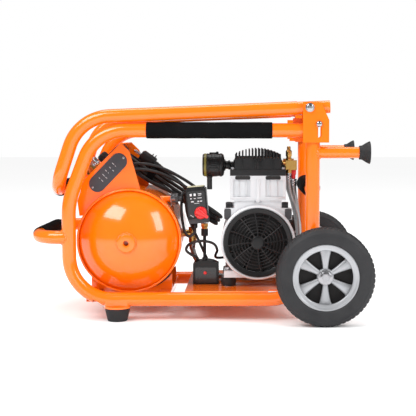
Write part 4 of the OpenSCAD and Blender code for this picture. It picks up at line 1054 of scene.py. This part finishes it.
def make_switch():
    """Rounded cover, bezel, cream strip, printed marks and the pointer knob."""
    softened("switch_cover", plastic, "black_plastic", 2.0)
    put("switch_bezel", [slab(rectangle(38, 55, 4), 0, 0.7, switch_place(0, 42), 0.3)],
        "frame", gauge_black, "black_plastic")
    strip = slab(rectangle(36, 34, 3), 77.9, 79.4, at_axes(
        SWITCH_AT + (-55) * Y, SWITCH_X, Y, SWITCH_Z), 0.5)
    put("switch_top_strip", [strip], "frame", cream, "black_plastic")
    marks = []
    for u, w, width, height in ((-11, 62, 4.4, 5.2), (-2.5, 62, 4.4, 5.2), (8, 63.5, 8, 1.4),
                                (8, 60.5, 6, 1.2), (-11, 54, 3.4, 2.2), (-3, 54, 4, 1.4),
                                (7.5, 54.5, 9, 1.2), (-8.5, 47.5, 6, 2.4), (4, 47.5, 4, 2.4),
                                (10, 47.5, 4.4, 2.0), (0, 43.5, 11, 0.9)):
        marks.append(slab(rectangle(width, height, 0.5, 3), 0.6, 0.8, switch_place(u, w), 0.05))
    for s in (-1, 1):
        slant = at_axes(SWITCH_AT + s * 12 * SWITCH_X + 17 * SWITCH_Z - 80 * Y,
                        (SWITCH_X + s * 0.8 * SWITCH_Z) / 1.28,
                        (SWITCH_Z - s * 0.8 * SWITCH_X) / 1.28, -Y)
        marks.append(slab(rectangle(9, 1.0, 0.3, 3), 0.6, 0.8, slant, 0.05))
    put("switch_marks", marks, "frame", print_white, "black_plastic", crease=60)
    hub = np.array([0.2, -80.0, 218.3])
    knob = [[0, 0.4], [13.4, 0.4], [13.8, 1.2], [13.2, 7.5], [12.2, 9.6], [10.8, 10.6], [0, 10.8]]
    point = np.array([math.cos(math.radians(-32)), 0, math.sin(math.radians(-32))])
    across = np.array([-point[2], 0, point[0]])
    u = np.linspace(0, 1, 20)[:, None]
    t = np.linspace(0, 2 * np.pi, 24, endpoint=False)[None, :]
    wide = 8.4 - 5.2 * u
    rows = (hub + ((-9.5 + 27.5 * u) + 0 * t)[..., None] * point
            + (wide * np.sign(np.cos(t)) * np.abs(np.cos(t)) ** 0.6)[..., None] * across
            + (-10.6 - 5.8 * np.maximum(np.sin(t), -0.4) * (1 - 0.35 * u ** 2))[..., None] * Y)
    ends = [np.repeat(rows[k].mean(axis=0)[None, None], 24, axis=1) for k in (0, -1)]
    put("switch_knob_pointer",
        [solid_turned(knob, hub, -Y, 0.7, sides=64), sheet(np.vstack([ends[0], rows, ends[1]])),
         turned([[0, -9], [4, -9], [4, 0.6], [0, 0.6]], hub, -Y, sides=24)],
        "switch_knob_body", red_plastic, "red_plastic", replaced=("switch_knob",))


def make_fittings():
    """Hex glands under the switch, the brass elbow and the grey conduit to the box."""
    parts = hex_head([7, -56, 193.4], -Z, 15, 7.4) + hex_head([7, -56, 186], -Z, 12.5, 6.0)
    put("switch_brass_fitting", parts, "frame", brass, "brass", replaced=("switch_fittings",))
    parts = [solid_turned([[0, 0], [6, 0], [6, 8], [5, 10], [0, 10]], [-14, -56, 193], -Z, 0.6,
                          sides=32),
             turned(rounded([[0, 0], [3.6, 0], [3.5, 66], [5.6, 67], [5.6, 72.4], [0, 72.4]], 0.5),
                    [7, -56, 186.5], -Z, sides=28),
             turned(rounded([[0, -2], [7.6, -2], [7.6, 12], [6.8, 14], [0, 14]], 0.5),
                    [7, -56, 180], -Z, sides=8)]
    for x, z, r, far in ((-9, 244, 5.5, -18), (5, 244, 5.5, -18), (-22, 230, 7, -12)):
        parts.append(turned(rounded([[0, -30], [r, -30], [r, -30 - far - 4], [r * 0.8, -30 - far],
                                     [0, -30 - far]], 0.6), [x, 0, z], Y, sides=6 if r < 6 else 28))
    put("switch_glands", parts, "frame", plastic, "black_plastic")


def make_box():
    """Overload box with eased edges, its cover lines and the red reset button."""
    softened("overload_box", plastic, "black_plastic", 2.2)
    place = at_axes([9.5, -65, 82], X, Z, -Y)
    put("box_front", [slab(rectangle(46, 34, 4), -0.2, 0.6, place, 0.3)], "frame", gauge_black,
        "black_plastic")
    button = [[0, -6], [3.6, -6], [3.6, 2.6], [3.0, 3.8], [0, 4.0]]
    put("reset_button_red", [solid_turned(button, [8.4, -65, 87.3], -Y, 0.5, sides=32)],
        "reset_button_body", red_plastic, "red_plastic", replaced=("reset_button",))


# ---- pump -------------------------------------------------------------------------------------

PUMP = np.array([121.5, 0, 157.3])


def make_guards():
    """Moulded fan guards: an outer band, six rings, twelve swept spokes and a hub disc."""
    for name, s in (("near", -1), ("far", 1)):
        outward = np.array([0, s, 0.0])
        band = [[72.5, -1], [72.5, 4.4], [71.2, 5.0], [62.5, 2.2], [61.6, 0.6], [66, -0.6]]
        parts = [turned(loop_rounded(band, 0.7), PUMP + 108 * outward, outward, sides=96,
                        closed=True)]
        t = np.linspace(0, 2 * np.pi, 8, endpoint=False)
        for r in (21.5, 28, 34.5, 41, 47.5, 54):
            ring = np.column_stack([r + 1.3 * np.cos(t), 1.6 + 1.5 * np.sin(t)])
            parts.append(turned(ring, PUMP + 108 * outward, outward, sides=80, closed=True))
        parts.append(solid_turned([[0, 4.4], [11, 4.2], [14.5, 3.0], [15, 0.6], [0, 0.6]],
                                  PUMP + 108 * outward, outward, 0.8, sides=48))
        reach = np.linspace(12, 64, 14)
        for k in range(12):
            turn = math.radians(30 * k) + 0.0022 * (reach - 12)
            path = (PUMP + (109.6) * outward + reach[:, None]
                    * np.stack([np.cos(turn), 0 * turn, np.sin(turn)], axis=1))
            parts.append(tube(path, 1.7, 10))
        put("fan_guard_" + name, parts, "frame", plastic, "black_plastic", crease=60,
            replaced=("fan_guards",))


def fin(x, top, y0, y1, foot, half=1.5):
    """One cooling fin: a thin blade that tapers upwards, with rounded ends and top edge."""
    outline = rectangle(2, y1 - y0, 0.9, 4)
    mid = (y0 + y1) / 2
    rows = []
    for share, kept in ((0.0, 1), (0.5, 1), (0.9, 1), (0.97, 1), (1.0, 0.55), (1.0, 0)):
        thick = half * (1 - 0.3 * share) * kept
        length = 1 - 0.06 * share ** 3
        z = foot + (top - foot) * share
        rows.append(np.column_stack([x + outline[:, 0] * thick, mid + outline[:, 1] * length,
                                     np.full(len(outline), z)]))
    first = np.repeat(rows[0].mean(axis=0)[None], len(outline), axis=0)
    return sheet(np.stack([first] + rows))


def make_heads():
    """Black cylinder heads: eased blocks, arched rows of fins, side ribs and corner bolts."""
    softened("cylinder_heads", head_black, "head_black", 1.2)
    parts, bolts = [], []
    for s in (-1, 1):
        y0, y1 = sorted((s * 36.0, s * 100.0))
        for k in np.arange(-6.5, 7):
            parts.append(fin(PUMP[0] + 7.2 * k, 354 - 0.26 * k * k, y0 + 0.5, y1 - 0.5, 333, 1.2))
        for side in (-1, 1):
            for k in range(4):
                at = np.array([PUMP[0] + side * (50.2 + 2.6 * k), s * 68.0, 311.0])
                place = at_axes(at, X, Y, Z)
                parts.append(slab(rectangle(1.4, 56 - 3 * k, 0.5, 3), 0, 20 - 4.5 * k, place, 0.4))
        for x, w in ((-4.5, 1.6), (4.5, 1.6), (0, 3.0), (-32, 1.4), (32, 1.4), (-9, 1.4), (9, 1.4)):
            place = at_axes([PUMP[0] + x, s * 98.0, 323.0], X, Z, s * Y)
            parts.append(slab(rectangle(w, 21, 0.6, 3), -1, 2.0, place, 0.4))
        for x in (-53, 53):
            for y in (42.0, 94.0):
                bolts += hex_head([PUMP[0] + x, s * y, 311.2], Z, 7.0, 4.0, 0.8)
    put("head_fins", parts, "frame", head_black, "head_black", crease=50)
    put("head_bolts", bolts, "frame", steel, "bright_steel")


def make_crankcase():
    """Die-cast crankcase with eased edges, window plates in painted shade, ribs, fan rings and side
    lugs.
    """
    softened("crankcases", cast_alu, "cast_alu", 1.4)
    dark, bright, lugs = [], [], []
    for s in (-1, 1):
        outward = np.array([0, s, 0.0])
        for x in (-32, 32):
            place = at_axes([PUMP[0] + x, s * 99.2, 293.6], X, Z, outward)
            dark.append(slab(rectangle(32, 8.0, 3.5), 0, 1.6, place, 0.6))
        for x in (-40, -24, 24, 40):
            place = at_axes([PUMP[0] + x, s * 96.0, 271.5], X, Z, outward)
            bright.append(slab(rectangle(1.6, 33, 0.5, 3), -0.5, 2.4, place, 0.5))
        place = at_axes([PUMP[0], s * 100.0, 266.0], X, Z, outward)
        bright.append(slab(rectangle(7.0, 50, 2.0), -1, 1.8, place, 0.8))
        place = at_axes([PUMP[0], s * 100.0, 251.5], X, Z, outward)
        bright.append(slab(rectangle(116, 3.4, 1.2), -1, 1.2, place, 0.6))
        for x in (-64, 64):
            place = at_axes([PUMP[0] + x, s * 80.0, 217.0], X, Z, outward)
            lugs.append(slab(rectangle(16, 25, 5), 0, 18, place, 3.0))
        ring = [[72.8, 0], [78.9, 0], [79.0, 1.0], [76.5, 2.6], [73.4, 2.0]]
        bright.append(turned(loop_rounded(ring, 0.5), PUMP + 107.6 * outward, outward, sides=120,
                             closed=True))
    # The window plates are near-black painted shade of the block's inside.
    put("block_windows", dark, "frame", painted_shade_inside, "cast_alu")
    put("block_ribs", bright, "frame", cast_alu, "cast_alu", crease=50)
    put("side_lugs", lugs, "frame", cast_dark, "cast_dark", crease=45)


def make_filter():
    """Intake filter: a ridged canister with clips, a stepped neck and a drop tube."""
    x0, z, y = 4.0, 319.6, -68.0
    can = [[0, 0], [21.5, 0], [23.4, 1.2], [24, 3], [24, 9], [25, 9.8], [25, 12], [24.2, 12.8],
           [24.2, 18], [25, 19], [25, 30], [24.2, 31], [24.2, 36], [25, 37], [24.6, 41],
           [22, 44.4], [16, 46], [0, 46]]

    def ridges(t, r, d):
        return r - 0.35 * (r > 23) * (0.5 + 0.5 * np.cos(d * 2.1)) - 0.4 * (r > 23) * (
            (d > 19) & (d < 30)) * (0.5 + 0.5 * np.cos(36 * t))
    parts = [turned(rounded(can, 0.6), [x0, y, z], X, sides=180, shape=ridges),
             turned(rounded([[0, 44], [13, 44], [12, 48], [8.6, 49], [8.6, 54], [10, 55], [10, 58],
                             [7.4, 59], [7.4, 72.5], [0, 72.5]], 0.5), [x0, y, z], X, sides=40),
             turned(rounded([[0, 0], [6.6, 0], [6.6, 6], [5.5, 7], [5.5, 32], [0, 32]], 0.5),
                    [x0 + 14.5, y, z - 20], -Z, sides=32)]
    for angle in (80, 200, 320):
        a = math.radians(angle)
        out = np.array([0, math.cos(a), math.sin(a)])
        side = np.array([0, -math.sin(a), math.cos(a)])
        place = at_axes(np.array([x0 + 24.0, y, z]) + 23.5 * out, X, side, out)
        parts.append(slab(rectangle(20, 7, 1.5), 0, 3.2, place, 0.8))
        place = at_axes(np.array([x0 + 31.0, y, z]) + 25.0 * out, X, side, out)
        parts.append(slab(rectangle(5, 9, 1.2), 0, 3.4, place, 0.8))
    put("intake_filter_body", parts, "frame", plastic, "black_plastic", crease=45,
        replaced=("intake_filter",))
    stripe = [[24.35, 3.4], [24.5, 4.0], [24.5, 7.6], [24.35, 8.4], [23.8, 8.4], [23.8, 3.4]]
    put("filter_stripe", [turned(stripe, [x0, y, z], X, sides=96, closed=True)], "frame",
        yellow_print, "black_plastic")


def make_mounts():
    """Barrel mounts of rubber between two steel washers."""
    parts, plates = [], []
    for x in (-62.5, 62.5):
        for y in (-80, 80):
            at = [PUMP[0] + x, y, 62.0]
            parts.append(solid_turned([[0, 1], [14.2, 1], [15.2, 2.5], [16, 10], [15.2, 17.5],
                                       [14.2, 19], [0, 19]], at, Z, 1.2, sides=48))
            plates.append(solid_turned([[0, 0], [15.4, 0], [15.4, 1.1], [0, 1.1]], at, Z, 0.3))
            plates.append(solid_turned([[0, 18.9], [15.4, 18.9], [15.4, 20], [0, 20]], at, Z, 0.3))
            plates.append(turned([[0, -5], [3.9, -5], [3.9, 38], [0, 38]], at, Z, sides=20))
            plates += hex_head([PUMP[0] + x, y, 96.2], Z, 10, 5, 1.0)
    put("mount_rubber", parts, "frame", rubber, "rubber", replaced=("pump_mounts",))
    put("mount_plates", plates, "frame", steel, "bright_steel")


def make_valves():
    """Brass safety valve with a knurled top, and the red cap below the outlet block."""
    valve = [[0, 0], [6.4, 0], [6.4, 4], [5.4, 5], [5.4, 8], [6.5, 9], [6.5, 19], [5.2, 21.5],
             [3.9, 22], [3.9, 28.6], [3.2, 29.6], [0, 29.8]]
    cap = [[0, 0], [6, 0], [6, 9], [4.6, 11], [4.6, 17], [3.4, 19.4], [0, 19.5]]

    def knurl(t, r, d):
        return r - 0.35 * ((d > 9.5) & (d < 18.5) & (r > 5)) * (0.5 + 0.5 * np.cos(20 * t))
    put("safety_valve_turned",
        [turned(rounded(valve, 0.4), [187.5, -68.0, 329.6], Z, sides=120, shape=knurl)], "frame",
        brass, "brass", replaced=("safety_valve",))
    put("red_relief_caps", [solid_turned(cap, [197.5, -66.0, 309.1], -Z, 0.5, sides=36)],
        "frame", red_plastic, "red_plastic")
    softened("outlet_block", brass, "brass", 0.9)


# ---- carried-over nodes -----------------------------------------------------------------------

def carry_over():
    """CAD nodes that keep their own shape get their finish."""
    finishes = {
        orange: ("side_frame_left", "side_frame_right", "rear_crossbar", "front_bumper",
                 "pull_handle"),
        rubber: ("saddle_pads",),
        brass: ("check_valve", "drain_valve", "drain_knob", "coupler_bodies"),
        red_plastic: ("tank_needle", "outlet_needle"),
        cast_alu: ("motor_housing", "piston_front", "piston_rear"),
        copper: ("stator",),
        steel: ("motor_shaft", "cylinder_liners", "axle"),
        # The fans behind the guards are near-black painted shade.
        painted_shade_inside: ("cooling_fans",),
    }
    for material, nodes in finishes.items():
        for node in nodes:
            for slot in frame["nodes"][node].material_slots:
                slot.material = material
    for node, material, slot in (("pump_tray", orange, "orange_coat"),
                                 ("tank_saddles", orange, "orange_coat"),
                                 ("console", orange, "orange_coat"),
                                 ("regulator", cast_dark, "cast_dark"),
                                 ("switch_base", cast_dark, "cast_dark")):
        softened(node, material, slot, 0.7)


# ---- floor and light --------------------------------------------------------------------------

def make_stage():
    """A plain pale floor, a pale surround and soft lamps."""
    side = 14.0
    mesh = bpy.data.meshes.new("floor")
    mesh.from_pydata([(-side, -side, 0), (side, -side, 0), (side, side, 0), (-side, side, 0)], [],
                     [(0, 1, 2, 3)])
    mesh.materials.append(finish("pale_floor", (0.94, 0.94, 0.94), (0.93, 0.93, 0.93), (0.35, 0.45),
                                 (30.0, 0.00001), patch_scale=0.6, specular=0.0))
    floor = bpy.data.objects.new("floor", mesh)
    bpy.context.scene.collection.objects.link(floor)
    world = bpy.data.worlds.new("surround")
    world.use_nodes = True
    tree = world.node_tree
    shine = tree.nodes["Background"]
    shine.inputs["Color"].default_value = (1.0, 1.0, 1.0, 1.0)
    rays = tree.nodes.new("ShaderNodeLightPath")
    level = maths(tree, "MULTIPLY", rays.outputs["Is Glossy Ray"], -0.84)
    tree.links.new(maths(tree, "ADD", level, 1.0), shine.inputs["Strength"])
    bpy.context.scene.world = world
    for name, place, aim, size, power in (
            ("key", (-1.5, -1.7, 2.3), (-0.1, 0, 0.2), (1.7, 1.2), 52),
            ("side", (1.9, -1.5, 1.5), (0.1, 0, 0.2), (0.7, 1.6), 26),
            ("top", (0.0, 0.6, 2.6), (0, 0, 0.2), (2.0, 1.2), 26)):
        data = bpy.data.lights.new(name, "AREA")
        data.shape = "RECTANGLE"
        data.size, data.size_y = size
        data.energy = power
        lamp = bpy.data.objects.new(name, data)
        away = np.array(place) - np.array(aim)
        lamp.location = place
        lamp.rotation_euler = (math.atan2(math.hypot(away[0], away[1]), away[2]), 0,
                               math.atan2(away[0], -away[1]))
        bpy.context.scene.collection.objects.link(lamp)
    bpy.context.scene.view_settings.view_transform = "Standard"


make_camera()
make_lead()
make_hoses()
make_grips()
make_welds()
make_feet()
make_bolts()
make_wheel("left", -1)
make_wheel("right", 1)
make_axle_nuts()
make_tank()
make_console()
make_switch()
make_fittings()
make_box()
make_guards()
make_heads()
make_crankcase()
make_filter()
make_mounts()
make_valves()
carry_over()
make_stage()
